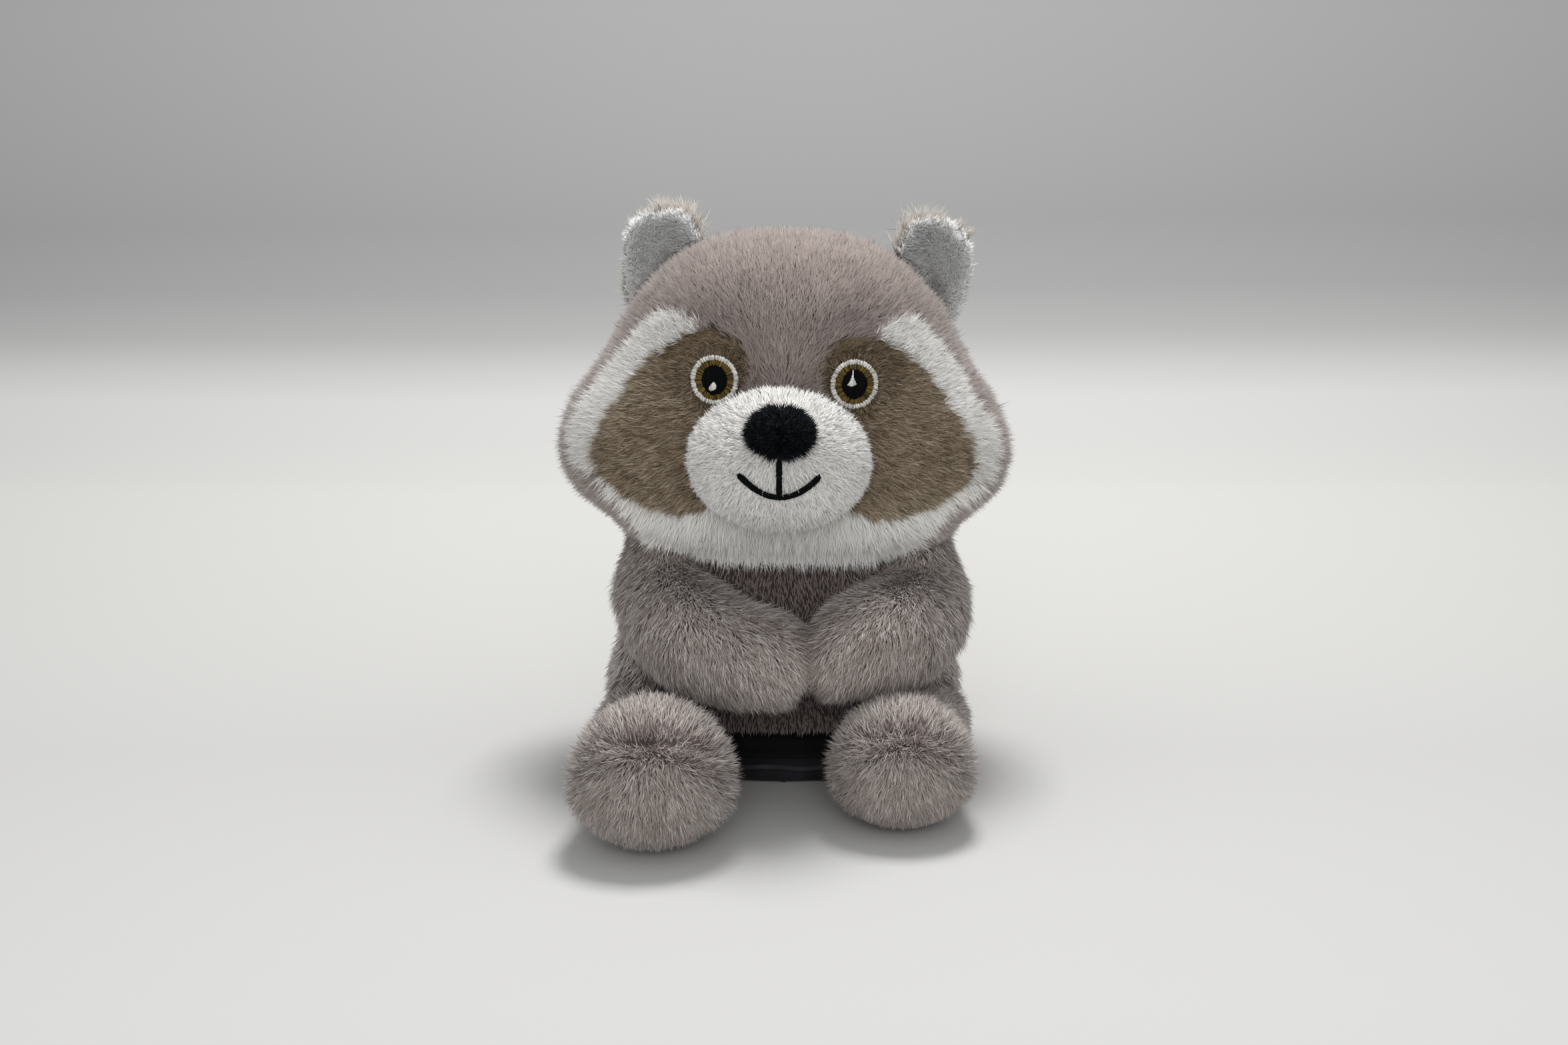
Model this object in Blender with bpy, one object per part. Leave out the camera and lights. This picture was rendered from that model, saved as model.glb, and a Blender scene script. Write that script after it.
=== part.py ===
"""A small sitting plush raccoon with folded arms, cut and sewn from short and long pile cloth.

Lengths are in millimetres here and become metres where a mesh is made. +Z is up, the face looks
along -Y, and the origin is the middle of the flat underside that the toy sits on. Left and right
are the toy's own, so its left side is at +X.
"""

import math

import bmesh
import bpy
from mathutils import Matrix, Vector

MM = 0.001

# Cloth, thread and the room left between pieces
GAP = 0.3
CLOTH = 2.5
THREAD_RAISE = 0.9

# Head, measured over the pile
HEAD_WIDTH = 139.0
HEAD_HEIGHT = 101.5
HEAD_FRONT = 42.0
HEAD_BACK = 44.0
HEAD_SQUARENESS = 2.25
HEAD_ROLL_DEG = 1.7
NECK_HEIGHT = 67.0

# The face is sewn a little to the toy's right of the middle
HEAD_SHIFT = -0.8
FACE_SHIFT = -0.9
MUZZLE_SHIFT = -1.7

# Muzzle, nose and mouth, with heights from the bottom of the head
MUZZLE_WIDTH = 54.5
MUZZLE_HEIGHT = 43.0
MUZZLE_REACH = 23.0
MUZZLE_RISE = 38.5
NOSE_WIDTH = 20.4
NOSE_HEIGHT = 16.6
NOSE_THICK = 8.0
NOSE_RISE = 50.4
MOUTH_THREAD = 1.7
MOUTH_DROP = 11.5
SMILE_WIDTH = 23.0
SMILE_LIFT = 6.5

# Embroidered eyes
EYE_SPACING = 41.0
EYE_RISE = 61.1
EYE_DIAMETER = 14.0
IRIS_DIAMETER = 12.0
PUPIL_WIDTH = 7.6
PUPIL_HEIGHT = 8.8
GLINT_WIDTH = 1.7
GLINT_HEIGHT = 2.6

# Ears, with their middles placed from the top, the side and the middle depth of the head
EAR_HEIGHT = 39.0
EAR_SQUARENESS = 2.7
LEFT_EAR_WIDTH = 28.0
LEFT_EAR_CUP = 9.0
LEFT_EAR_OUTSET = 0.8
RIGHT_EAR_WIDTH = 28.5
RIGHT_EAR_CUP = 5.5
RIGHT_EAR_OUTSET = -2.0
EAR_DROP = 14.0
EAR_SETBACK = 13.0
EAR_SEAM_AHEAD = 4.0

# Trunk: the pile cover above, and the smooth dark seat below it
TRUNK_WIDTH = 116.0
TRUNK_HEIGHT = 84.0
TRUNK_FRONT = 38.5
TRUNK_BACK = 43.0
TRUNK_SQUARENESS = 2.2
SEAT_FRONT_RISE = 16.0
SEAT_BACK_RISE = 10.0
SEAT_INSET = 4.0
PAD_WIDTH = 101.0
PAD_HEIGHT = 7.0
PAD_FRONT = 33.5
PAD_BACK = 37.0
PAD_SEAM_THREAD = 1.6
PAD_SEAM_WAVE = 0.6

# Arms, from the shoulder to the paw
ARM_THICK = 33.0
PAW_THICK = 28.0
SHOULDER_THICK = 28.0
PAWS_MEET_X = 6.9
PAW_PRESS = 5.0
SHOULDER_FORWARD = 6.0
ELBOW_DROP = 13.0
ELBOW_FORWARD = 19.0

# Each arm's shoulder in from the trunk's side, the heights along it, and how far it lies ahead
# of the chest
LEFT_SHOULDER_INSET = 18.0
LEFT_SHOULDER_HEIGHT = 66.0
LEFT_FOREARM_X = 31.0
LEFT_FOREARM_HEIGHT = 51.0
LEFT_FOREARM_AHEAD = 4.5
LEFT_PAW_HEIGHT = 47.5
LEFT_PAW_AHEAD = 12.0
RIGHT_SHOULDER_INSET = 22.0
RIGHT_SHOULDER_HEIGHT = 69.0
RIGHT_FOREARM_X = 22.0
RIGHT_FOREARM_HEIGHT = 49.0
RIGHT_FOREARM_AHEAD = 8.0
RIGHT_PAW_HEIGHT = 46.0
RIGHT_PAW_AHEAD = 14.0

# Legs, from the hip to the foot
THIGH_THICK = 30.0
HIP_SPACING = 76.0
HIP_FORWARD = 6.0
KNEE_BOW = 7.0
KNEE_FORWARD = 26.0
LEFT_FOOT_TOE_IN = 3.5
LEFT_FOOT_FORWARD = 63.0
LEFT_FOOT_WIDTH = 41.3
LEFT_FOOT_HEIGHT = 39.6
RIGHT_FOOT_TOE_IN = 0.2
RIGHT_FOOT_FORWARD = 78.0
RIGHT_FOOT_WIDTH = 47.4
RIGHT_FOOT_HEIGHT = 44.4
SOLE_LEAN_DEG = 33.0
SOLE_SEAM_SHARE = 0.30

# Ringed tail, laid on the floor behind the trunk
TAIL_THICK = 26.0
TAIL_REACH = 43.0
TAIL_STAND_OFF = 10.0
TAIL_ROOT_RISE = 6.0
TAIL_BANDS = 5

# Facets
HEAD_FACETS = (34, 20)
FILLING_FACETS = (16, 11)
MUZZLE_FACETS = (24, 12)
NOSE_FACETS = (15, 8)
EAR_FACETS = (18, 7)
TRUNK_FACETS = (26, 16)
PAD_FACETS = (26, 6)
ARM_FACETS = (16, 14)
LEG_FACETS = (16, 13)
TAIL_FACETS = (12, 15)
EYE_FACETS = 14
OUTLINE_STEPS = 2

# Head rows from chin to crown: shares of its height, half width, front depth and back depth
HEAD_ROWS = (
    (0.000, 0.00, 0.00, 0.00),
    (0.012, 0.36, 0.38, 0.30),
    (0.050, 0.60, 0.64, 0.50),
    (0.110, 0.79, 0.83, 0.68),
    (0.200, 0.93, 0.95, 0.84),
    (0.320, 1.00, 1.00, 0.95),
    (0.440, 0.97, 1.00, 1.00),
    (0.560, 0.865, 0.97, 0.99),
    (0.680, 0.765, 0.90, 0.93),
    (0.790, 0.675, 0.80, 0.83),
    (0.890, 0.54, 0.64, 0.66),
    (0.955, 0.39, 0.46, 0.47),
    (0.990, 0.20, 0.24, 0.24),
    (1.000, 0.00, 0.00, 0.00),
)

# Trunk rows from the floor to the neck, as shares of the same four sizes
TRUNK_ROWS = (
    (0.000, 0.00, 0.00, 0.00),
    (0.000, 0.66, 0.66, 0.74),
    (0.025, 0.78, 0.80, 0.86),
    (0.070, 0.84, 0.87, 0.91),
    (0.130, 0.91, 0.90, 0.95),
    (0.210, 0.985, 0.96, 0.99),
    (0.300, 1.00, 1.00, 1.00),
    (0.410, 0.965, 1.00, 0.97),
    (0.560, 0.88, 0.95, 0.90),
    (0.730, 0.77, 0.84, 0.78),
    (0.870, 0.63, 0.68, 0.62),
    (0.960, 0.40, 0.44, 0.40),
    (1.000, 0.00, 0.00, 0.00),
)

# Base pad rows from its flat underside to its top, as shares of the same four sizes
PAD_ROWS = (
    (0.00, 0.00, 0.00, 0.00),
    (0.00, 0.93, 0.92, 0.93),
    (0.18, 0.98, 0.98, 0.98),
    (0.50, 1.00, 1.00, 1.00),
    (0.82, 0.98, 0.98, 0.98),
    (1.00, 0.90, 0.89, 0.90),
    (1.00, 0.00, 0.00, 0.00),
)

# Face patches seen from the front, for the toy's left half, as shares of the head's half width
# and of its height
MASK_OUTLINE = (
    (0.165, 0.665),
    (0.245, 0.722),
    (0.350, 0.738),
    (0.450, 0.708),
    (0.540, 0.655),
    (0.635, 0.580),
    (0.730, 0.488),
    (0.810, 0.385),
    (0.822, 0.330),
    (0.745, 0.290),
    (0.630, 0.245),
    (0.515, 0.213),
    (0.405, 0.210),
    (0.290, 0.238),
    (0.180, 0.320),
    (0.120, 0.500),
)
FACE_OUTLINE = (
    (0.200, 0.460),
    (0.310, 0.690),
    (0.375, 0.755),
    (0.485, 0.782),
    (0.575, 0.750),
    (0.665, 0.668),
    (0.770, 0.562),
    (0.862, 0.450),
    (0.900, 0.385),
    (0.880, 0.315),
    (0.800, 0.253),
    (0.690, 0.190),
    (0.640, 0.120),
    (0.600, -0.100),
    (0.200, -0.200),
)
STRIPE_END_SHARE = 0.315

COLOURS = {
    "grey_pile": "#9C9192",
    "brown_pile": "#7B6B5D",
    "white_pile": "#E4E3E1",
    "white_short_pile": "#EDEBE8",
    "black_pile": "#14171C",
    "black_thread": "#101216",
    "white_thread": "#DAD8D3",
    "gold_thread": "#6A5020",
    "dark_cloth": "#2E2C2E",
    "filling": "#F2F1EC",
}


def linear(channel):
    """The linear value of one sRGB channel."""
    return channel / 12.92 if channel <= 0.04045 else ((channel + 0.055) / 1.055) ** 2.4


def cloth_material(name):
    """A matt material in one of the toy's colours."""
    found = bpy.data.materials.get(name)
    if found:
        return found
    made = bpy.data.materials.new(name)
    made.use_nodes = True
    shader = made.node_tree.nodes["Principled BSDF"]
    code = COLOURS[name].lstrip("#")
    rgb = [linear(int(code[i : i + 2], 16) / 255) for i in (0, 2, 4)]
    shader.inputs["Base Color"].default_value = (*rgb, 1)
    shader.inputs["Roughness"].default_value = 0.6 if "thread" in name else 0.95
    shader.inputs["Metallic"].default_value = 0.0
    return made


def clear_scene():
    for obj in list(bpy.data.objects):
        bpy.data.objects.remove(obj)


def new_collection(name):
    made = bpy.data.collections.new(name)
    bpy.context.scene.collection.children.link(made)
    return made


clear_scene()
TOY = new_collection("plush_raccoon")
CUTTERS = new_collection("cutters")


def object_from(name, mesh_or_bm, collection=None, parent=None):
    """An object of a mesh or a bmesh, in the toy's collection unless another is given."""
    if isinstance(mesh_or_bm, bmesh.types.BMesh):
        mesh = bpy.data.meshes.new(name)
        mesh_or_bm.to_mesh(mesh)
        mesh_or_bm.free()
    else:
        mesh = mesh_or_bm
    obj = bpy.data.objects.new(name, mesh)
    (collection or TOY).objects.link(obj)
    obj.parent = parent
    return obj


def as_cutter(obj):
    """Keeps an object out of the finished toy."""
    for owner in list(obj.users_collection):
        owner.objects.unlink(obj)
    CUTTERS.objects.link(obj)
    obj.hide_render = True
    obj.display_type = "WIRE"
    return obj


def evaluated_mesh(obj):
    """A plain mesh of an object with its modifiers applied, in the object's own coordinates."""
    bpy.context.view_layer.update()
    graph = bpy.context.evaluated_depsgraph_get()
    return bpy.data.meshes.new_from_object(obj.evaluated_get(graph), depsgraph=graph)


def boolean(obj, operation, other):
    modifier = obj.modifiers.new(f"{operation.lower()} {other.name}", "BOOLEAN")
    modifier.operation = operation
    modifier.solver = "EXACT"
    modifier.object = other


def place_like(form, obj):
    obj.location = form.location
    obj.rotation_euler = form.rotation_euler


def form_of(name, bm, parent=None):
    """A form as a cutter. Its faces become triangles, since a cut through a bent face has no one result."""
    bmesh.ops.triangulate(bm, faces=bm.faces)
    return as_cutter(object_from(name, bm, CUTTERS, parent))


def piece_of(form, name, cuts=(), keeps=()):
    """A copy of a form, kept inside some forms and cut back from others, as one of the toy's pieces."""
    obj = object_from(name, form.data.copy(), parent=form.parent)
    place_like(form, obj)
    for other in keeps:
        boolean(obj, "INTERSECT", other)
    for other in cuts:
        boolean(obj, "DIFFERENCE", other)
    return obj


def grown(form, by):
    """A cutter with the form's shape, moved out along its normals by some millimetres."""
    name = f"{form.name} {by:+.2f}"
    found = bpy.data.objects.get(name)
    if found:
        return found
    obj = object_from(name, form.data.copy(), CUTTERS, form.parent)
    place_like(form, obj)
    modifier = obj.modifiers.new("grow", "DISPLACE")
    modifier.mid_level = 0
    modifier.strength = by * MM
    obj.data = evaluated_mesh(obj)
    obj.modifiers.clear()
    return as_cutter(obj)


def finish(obj, colour):
    """Gives a piece its material and smooth shading up to its cut edges."""
    obj.data.materials.clear()
    obj.data.materials.append(cloth_material(colour))
    obj.data.shade_smooth()
    obj.data.set_sharp_from_angle(angle=math.radians(50))
    return obj


# Smooth curves through rows of numbers


def curve_value(rows, share):
    """The point at a share of the way along a smooth curve through some rows."""
    last = len(rows) - 1
    place = min(max(share, 0.0), 1.0) * last
    i = min(int(place), last - 1)
    t = place - i
    a, b, c, d = (rows[min(max(k, 0), last)] for k in (i - 1, i, i + 1, i + 2))
    return [
        0.5
        * (
            2 * q
            + (r - p) * t
            + (2 * p - 5 * q + 4 * r - s) * t * t
            + (3 * q - p - 3 * r + s) * t**3
        )
        for p, q, r, s in zip(a, b, c, d)
    ]


def smooth_loop(points, steps):
    """A closed outline through some points, with steps points for each of them."""
    count = len(points)
    loop = []
    for i in range(count):
        four = [points[(i + k) % count] for k in (-1, 0, 1, 2)]
        loop += [curve_value(four, (1 + step / steps) / 3) for step in range(steps)]
    return loop


def set_off(loop, by):
    """A closed outline moved outwards by some millimetres, or inwards if by is negative."""
    count = len(loop)
    area = sum(loop[i - 1][0] * loop[i][1] - loop[i][0] * loop[i - 1][1] for i in range(count))
    turn = math.copysign(by, area)
    moved = []
    for i in range(count):
        before, after = loop[i - 1], loop[(i + 1) % count]
        along = Vector((after[0] - before[0], after[1] - before[1])).normalized()
        moved.append((loop[i][0] + turn * along.y, loop[i][1] - turn * along.x))
    return moved


# Soft forms


def row_at(rows, sizes, share):
    """Height, half width, front and back of a form at a share of the way up its rows."""
    return [max(value, 0.0) * size for value, size in zip(curve_value(rows, share), sizes)]


def row_at_height(rows, sizes, height):
    """The same at a height, found by halving."""
    low, high = 0.0, 1.0
    for _ in range(30):
        middle = (low + high) / 2
        if row_at(rows, sizes, middle)[0] < height:
            low = middle
        else:
            high = middle
    return row_at(rows, sizes, low)


def stuffed_form(name, rows, sizes, squareness, facets, parent=None):
    """A closed form whose level sections are rounded ovals, deeper or flatter in front than behind."""
    bm = bmesh.new()
    bmesh.ops.create_uvsphere(bm, u_segments=facets[0], v_segments=facets[1], radius=1)
    power = 2 / squareness
    for vertex in bm.verts:
        up = min(max(vertex.co.z, -1.0), 1.0)
        height, side, front, back = row_at(rows, sizes, 1 - math.acos(up) / math.pi)
        round_ = math.atan2(vertex.co.y, vertex.co.x)
        across, deep = math.cos(round_), math.sin(round_)
        depth = back if deep > 0 else front
        vertex.co = (
            MM * side * math.copysign(abs(across) ** power, across),
            MM * depth * math.copysign(abs(deep) ** power, deep),
            MM * height,
        )
    return form_of(name, bm, parent)


def limb_form(name, centres, thicks, facets, flatness=1.0):
    """A closed round-ended form along a smooth path, with a thickness at each of its points.

    flatness is the height of its section as a share of its width, reached at the far end.
    """
    points = [Vector(p) for p in centres]
    radii = [t / 2 for t in thicks]
    start = points[0] + (points[0] - points[1]).normalized() * radii[0]
    stop = points[-1] + (points[-1] - points[-2]).normalized() * radii[-1]
    rows = [(*p, r) for p, r in zip([start, *points, stop], [radii[0], *radii, radii[-1]])]
    line = [curve_value(rows, i / 60) for i in range(61)]
    spots = [Vector(p[:3]) for p in line]
    run = [0.0]
    for a, b in zip(spots, spots[1:]):
        run.append(run[-1] + (b - a).length)

    def at(distance):
        i = max(1, next((k for k, d in enumerate(run) if d >= distance), len(run) - 1))
        t = (distance - run[i - 1]) / (run[i] - run[i - 1])
        spot = spots[i - 1].lerp(spots[i], t)
        radius = line[i - 1][3] * (1 - t) + line[i][3] * t
        return spot, (spots[i] - spots[i - 1]).normalized(), radius

    def cap(distance, radius):
        near = min(distance / radius, 1.0)
        return math.sqrt(max(1 - (1 - near) ** 2, 0.0))

    bm = bmesh.new()
    bmesh.ops.create_uvsphere(bm, u_segments=facets[0], v_segments=facets[1], radius=1)
    up = Vector((0, 0, 1))
    for vertex in bm.verts:
        polar = math.acos(min(max(vertex.co.z, -1.0), 1.0))
        share = (1 - math.cos(polar)) / 2
        distance = run[-1] * share
        spot, along, radius = at(distance)
        radius *= cap(distance, radii[0]) * cap(run[-1] - distance, radii[-1])
        side = along.cross(up).normalized()
        rise = side.cross(along)
        round_ = math.atan2(vertex.co.y, vertex.co.x)
        height = 1 + (flatness - 1) * share
        offset = side * math.cos(round_) + rise * math.sin(round_) * height
        vertex.co = (spot + offset * radius) * MM
    bmesh.ops.recalc_face_normals(bm, faces=bm.faces)
    return form_of(name, bm)


def prism(name, loop, front, back, parent=None):
    """A cutter of an outline seen from the front, reaching from one depth to another."""
    curve = bpy.data.curves.new(name, "CURVE")
    curve.dimensions = "2D"
    curve.fill_mode = "BOTH"
    curve.extrude = (back - front) / 2 * MM
    spline = curve.splines.new("POLY")
    spline.points.add(len(loop) - 1)
    for point, (x, z) in zip(spline.points, loop):
        point.co = (x * MM, z * MM, 0, 1)
    spline.use_cyclic_u = True
    guide = bpy.data.objects.new(f"{name} guide", curve)
    CUTTERS.objects.link(guide)
    bm = bmesh.new()
    bm.from_mesh(evaluated_mesh(guide))
    bmesh.ops.remove_doubles(bm, verts=bm.verts, dist=1e-6)
    stand = Matrix.Translation((0, (front + back) / 2 * MM, 0)) @ Matrix.Rotation(math.pi / 2, 4, "X")
    bmesh.ops.transform(bm, matrix=stand, verts=bm.verts)
    bmesh.ops.recalc_face_normals(bm, faces=bm.faces)
    bpy.data.objects.remove(guide)
    return as_cutter(object_from(name, bm, CUTTERS, parent))


def slab(name, low, high, parent=None):
    """A box cutter between two corners."""
    bm = bmesh.new()
    size = [high[i] - low[i] for i in range(3)]
    middle = [(high[i] + low[i]) / 2 * MM for i in range(3)]
    bmesh.ops.create_cube(bm, size=MM)
    bmesh.ops.scale(bm, vec=size, verts=bm.verts)
    bmesh.ops.translate(bm, vec=middle, verts=bm.verts)
    return as_cutter(object_from(name, bm, CUTTERS, parent))


def half_of(form, name, point, normal):
    """The part of a form on the side of a plane that its normal points to, closed at the cut."""
    bm = bmesh.new()
    bm.from_mesh(form.data)
    bmesh.ops.bisect_plane(
        bm,
        geom=bm.verts[:] + bm.edges[:] + bm.faces[:],
        dist=1e-7,
        plane_co=Vector(point) * MM,
        plane_no=normal,
        clear_inner=True,
    )
    rim = [edge for edge in bm.edges if edge.is_boundary]
    bmesh.ops.edgenet_fill(bm, edges=rim)
    bmesh.ops.recalc_face_normals(bm, faces=bm.faces)
    return as_cutter(object_from(name, bm, CUTTERS, form.parent))


# Head

HEAD_SIZES = (HEAD_HEIGHT, HEAD_WIDTH / 2, HEAD_FRONT, HEAD_BACK)
REACH = HEAD_WIDTH + HEAD_HEIGHT + TRUNK_HEIGHT

head_turn = bpy.data.objects.new("head_turn", None)
TOY.objects.link(head_turn)
head_turn.location = (HEAD_SHIFT * MM, 0, NECK_HEIGHT * MM)
head_turn.rotation_euler.y = math.radians(HEAD_ROLL_DEG)

head = stuffed_form("head form", HEAD_ROWS, HEAD_SIZES, HEAD_SQUARENESS, HEAD_FACETS, head_turn)
head_inner = stuffed_form(
    "head inner form", HEAD_ROWS, HEAD_SIZES, HEAD_SQUARENESS, FILLING_FACETS, head_turn
)


def face_depth(x, z):
    """The y of the front of the head at a place seen from the front, before the cloth's gap."""
    _, side, front, _ = row_at_height(HEAD_ROWS, HEAD_SIZES, z)
    near = min(abs(x) / side, 0.999)
    return -front * (1 - near**HEAD_SQUARENESS) ** (1 / HEAD_SQUARENESS)


def both_sides(outline):
    """An outline in shares of the head's half width and height, as millimetres on each side."""
    left = [(x * HEAD_WIDTH / 2, z * HEAD_HEIGHT) for x, z in outline]
    right = [(-x, z) for x, z in reversed(left)]
    return [[(x + FACE_SHIFT, z) for x, z in side] for side in (left, right)]


def head_panels():
    """The filling, and the cloth panels that are sewn round it."""
    cloth_inner = grown(head_inner, -CLOTH)
    filling = piece_of(grown(head_inner, -CLOTH - 2 * GAP), "head_filling")
    finish(filling, "filling")

    # The seam from ear to ear parts the crown from the back of the head.
    ear_seam = EAR_SETBACK - EAR_SEAM_AHEAD
    front_half = slab("head front", (-REACH, -REACH, -REACH), (REACH, ear_seam, REACH), head_turn)
    back_half = slab("head back", (-REACH, ear_seam + GAP, -REACH), (REACH, REACH, REACH), head_turn)

    left, right = both_sides(FACE_OUTLINE)
    face = smooth_loop([*left, *right], OUTLINE_STEPS)
    masks = {
        side: smooth_loop(outline, OUTLINE_STEPS)
        for side, outline in zip(("left", "right"), both_sides(MASK_OUTLINE))
    }

    def patch(name, loop, room=0.0):
        return prism(name, set_off(loop, room), -0.9 * REACH, 1, head_turn)

    mask_cuts = [patch(f"mask {side} room", loop, GAP) for side, loop in masks.items()]
    crown = piece_of(
        head,
        "crown_panel",
        cuts=[cloth_inner, patch("face room", face, GAP), *mask_cuts],
        keeps=[front_half],
    )
    finish(crown, "grey_pile")
    finish(piece_of(head, "head_back_panel", cuts=[cloth_inner], keeps=[back_half]), "grey_pile")

    for side, loop in masks.items():
        mask = piece_of(head, f"mask_panel_{side}", cuts=[cloth_inner], keeps=[patch(f"mask {side}", loop)])
        finish(mask, "brown_pile")

    stripe_end = STRIPE_END_SHARE * HEAD_HEIGHT
    spans = {
        "brow_stripe_left": ((MUZZLE_WIDTH / 8, -REACH, stripe_end), (REACH, 2, REACH)),
        "brow_stripe_right": ((-REACH, -REACH, stripe_end), (-MUZZLE_WIDTH / 8, 2, REACH)),
        "chin_panel": ((-REACH, -REACH, -REACH), (REACH, 2, stripe_end - GAP)),
    }
    face_patch = patch("face", face)
    forehead = slab(
        "under muzzle",
        (-MUZZLE_WIDTH / 3, -REACH, stripe_end),
        (MUZZLE_WIDTH / 3, 3, REACH),
        head_turn,
    )
    for name, (low, high) in spans.items():
        cuts = [cloth_inner, *mask_cuts]
        if name != "chin_panel":
            cuts.append(forehead)
        white = piece_of(head, name, cuts=cuts, keeps=[face_patch, slab(f"{name} span", low, high, head_turn)])
        finish(white, "white_pile")


def ellipsoid(name, centre, sizes, facets, lean=0.0, parent=None):
    """A closed oval form. lean turns its front up, in radians."""
    bm = bmesh.new()
    bmesh.ops.create_uvsphere(bm, u_segments=facets[0], v_segments=facets[1], radius=MM / 2)
    bmesh.ops.scale(bm, vec=sizes, verts=bm.verts)
    bmesh.ops.rotate(bm, matrix=Matrix.Rotation(-lean, 3, "X"), verts=bm.verts)
    obj = form_of(name, bm, parent)
    obj.location = Vector(centre) * MM
    return obj


MUZZLE_CENTRE_Y = face_depth(0, MUZZLE_RISE) + 1.0


def muzzle_depth(x, z):
    """The y of the front of the muzzle at a place seen from the front, from the muzzle's middle."""
    across, up = 2 * x / MUZZLE_WIDTH, 2 * (z - MUZZLE_RISE) / MUZZLE_HEIGHT
    return MUZZLE_CENTRE_Y - MUZZLE_REACH * math.sqrt(max(1 - across**2 - up**2, 0.0))


muzzle = ellipsoid(
    "muzzle form",
    (MUZZLE_SHIFT, MUZZLE_CENTRE_Y, MUZZLE_RISE),
    (MUZZLE_WIDTH, 2 * MUZZLE_REACH, MUZZLE_HEIGHT),
    MUZZLE_FACETS,
    parent=head_turn,
)


def thread_line(name, points, thick, parent=None):
    """A closed tube of thread along some points."""
    curve = bpy.data.curves.new(name, "CURVE")
    curve.dimensions = "3D"
    curve.bevel_depth = thick / 2 * MM
    curve.bevel_resolution = 1
    curve.use_fill_caps = True
    spline = curve.splines.new("POLY")
    spline.points.add(len(points) - 1)
    for point, place in zip(spline.points, points):
        point.co = (*(Vector(place) * MM), 1)
    guide = bpy.data.objects.new(f"{name} guide", curve)
    CUTTERS.objects.link(guide)
    bm = bmesh.new()
    bm.from_mesh(evaluated_mesh(guide))
    bmesh.ops.remove_doubles(bm, verts=bm.verts, dist=1e-6)
    bmesh.ops.recalc_face_normals(bm, faces=bm.faces)
    bpy.data.objects.remove(guide)
    return as_cutter(object_from(name, bm, CUTTERS, parent))


def muzzle_nose_and_mouth():
    face_room = grown(head, GAP)
    finish(piece_of(muzzle, "muzzle", cuts=[face_room]), "white_short_pile")

    muzzle_room = grown(muzzle, GAP)
    up = NOSE_RISE - MUZZLE_RISE
    nose_y = muzzle_depth(0, NOSE_RISE)
    lean = math.atan2(up / (MUZZLE_HEIGHT / 2) ** 2, (MUZZLE_CENTRE_Y - nose_y) / MUZZLE_REACH**2)
    nose = ellipsoid(
        "nose form",
        (MUZZLE_SHIFT, nose_y, NOSE_RISE),
        (NOSE_WIDTH, NOSE_THICK, NOSE_HEIGHT),
        NOSE_FACETS,
        lean,
        head_turn,
    )
    finish(piece_of(nose, "nose", cuts=[muzzle_room]), "black_pile")

    # The nose reaches a little past its outline seen from the front, so the line starts lower.
    line_top = NOSE_RISE - NOSE_HEIGHT / 2 * math.cos(lean) - MOUTH_THREAD
    line_foot = line_top - MOUTH_DROP + MOUTH_THREAD

    def on_muzzle(x, z):
        return (x + MUZZLE_SHIFT, muzzle_depth(x, z), z)

    drop = [on_muzzle(0, line_top + (line_foot - line_top) * i / 4) for i in range(5)]
    smile = []
    for i in range(13):
        x = SMILE_WIDTH * (i / 12 - 0.5)
        smile.append(on_muzzle(x, line_foot + SMILE_LIFT * (2 * x / SMILE_WIDTH) ** 2))
    mouth = thread_line("smile form", smile, MOUTH_THREAD, head_turn)
    boolean(mouth, "UNION", thread_line("mouth line form", drop, MOUTH_THREAD, head_turn))
    mouth.data = evaluated_mesh(mouth)
    mouth.modifiers.clear()
    finish(piece_of(mouth, "mouth_stitch", cuts=[muzzle_room, grown(nose, GAP)]), "black_thread")


def eye(side, sign):
    """A round embroidered eye: a pale rim, a gold ring, a black pupil and a pale glint."""
    x = sign * EYE_SPACING / 2 + FACE_SHIFT
    depth = face_depth(x, EYE_RISE)
    low_glint = -PUPIL_HEIGHT * 0.22 if sign < 0 else PUPIL_HEIGHT * 0.12
    rings = {
        "rim": (EYE_DIAMETER, EYE_DIAMETER, 0, "white_thread"),
        "iris": (IRIS_DIAMETER, IRIS_DIAMETER, 0, "gold_thread"),
        "pupil": (PUPIL_WIDTH, PUPIL_HEIGHT, 0, "black_thread"),
        "glint": (GLINT_WIDTH, GLINT_HEIGHT, low_glint, "white_thread"),
    }

    def disc(name, width, height, lift, room=0.0, reach=HEAD_FRONT * 0.7):
        bm = bmesh.new()
        bmesh.ops.create_cone(
            bm, cap_ends=True, segments=EYE_FACETS, radius1=MM / 2, radius2=MM / 2, depth=MM
        )
        bmesh.ops.rotate(bm, matrix=Matrix.Rotation(math.pi / 2, 3, "X"), verts=bm.verts)
        bmesh.ops.scale(bm, vec=(width + 2 * room, reach, height + 2 * room), verts=bm.verts)
        obj = as_cutter(object_from(name, bm, CUTTERS, head_turn))
        obj.location = Vector((x, depth, EYE_RISE + lift)) * MM
        return obj

    face_room, thread_top = grown(head, GAP), grown(head, GAP + THREAD_RAISE)
    names = list(rings)
    for i, name in enumerate(names):
        width, height, lift, colour = rings[name]
        cuts = [face_room, grown(muzzle, GAP)]
        if i + 1 < len(names):
            inner = rings[names[i + 1]]
            cuts.append(disc(f"eye {name} {side} hole", *inner[:3], GAP, HEAD_FRONT))
        form = disc(f"eye {name} {side} form", width, height, lift)
        finish(piece_of(form, f"eye_{name}_{side}", cuts=cuts, keeps=[thread_top]), colour)


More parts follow.
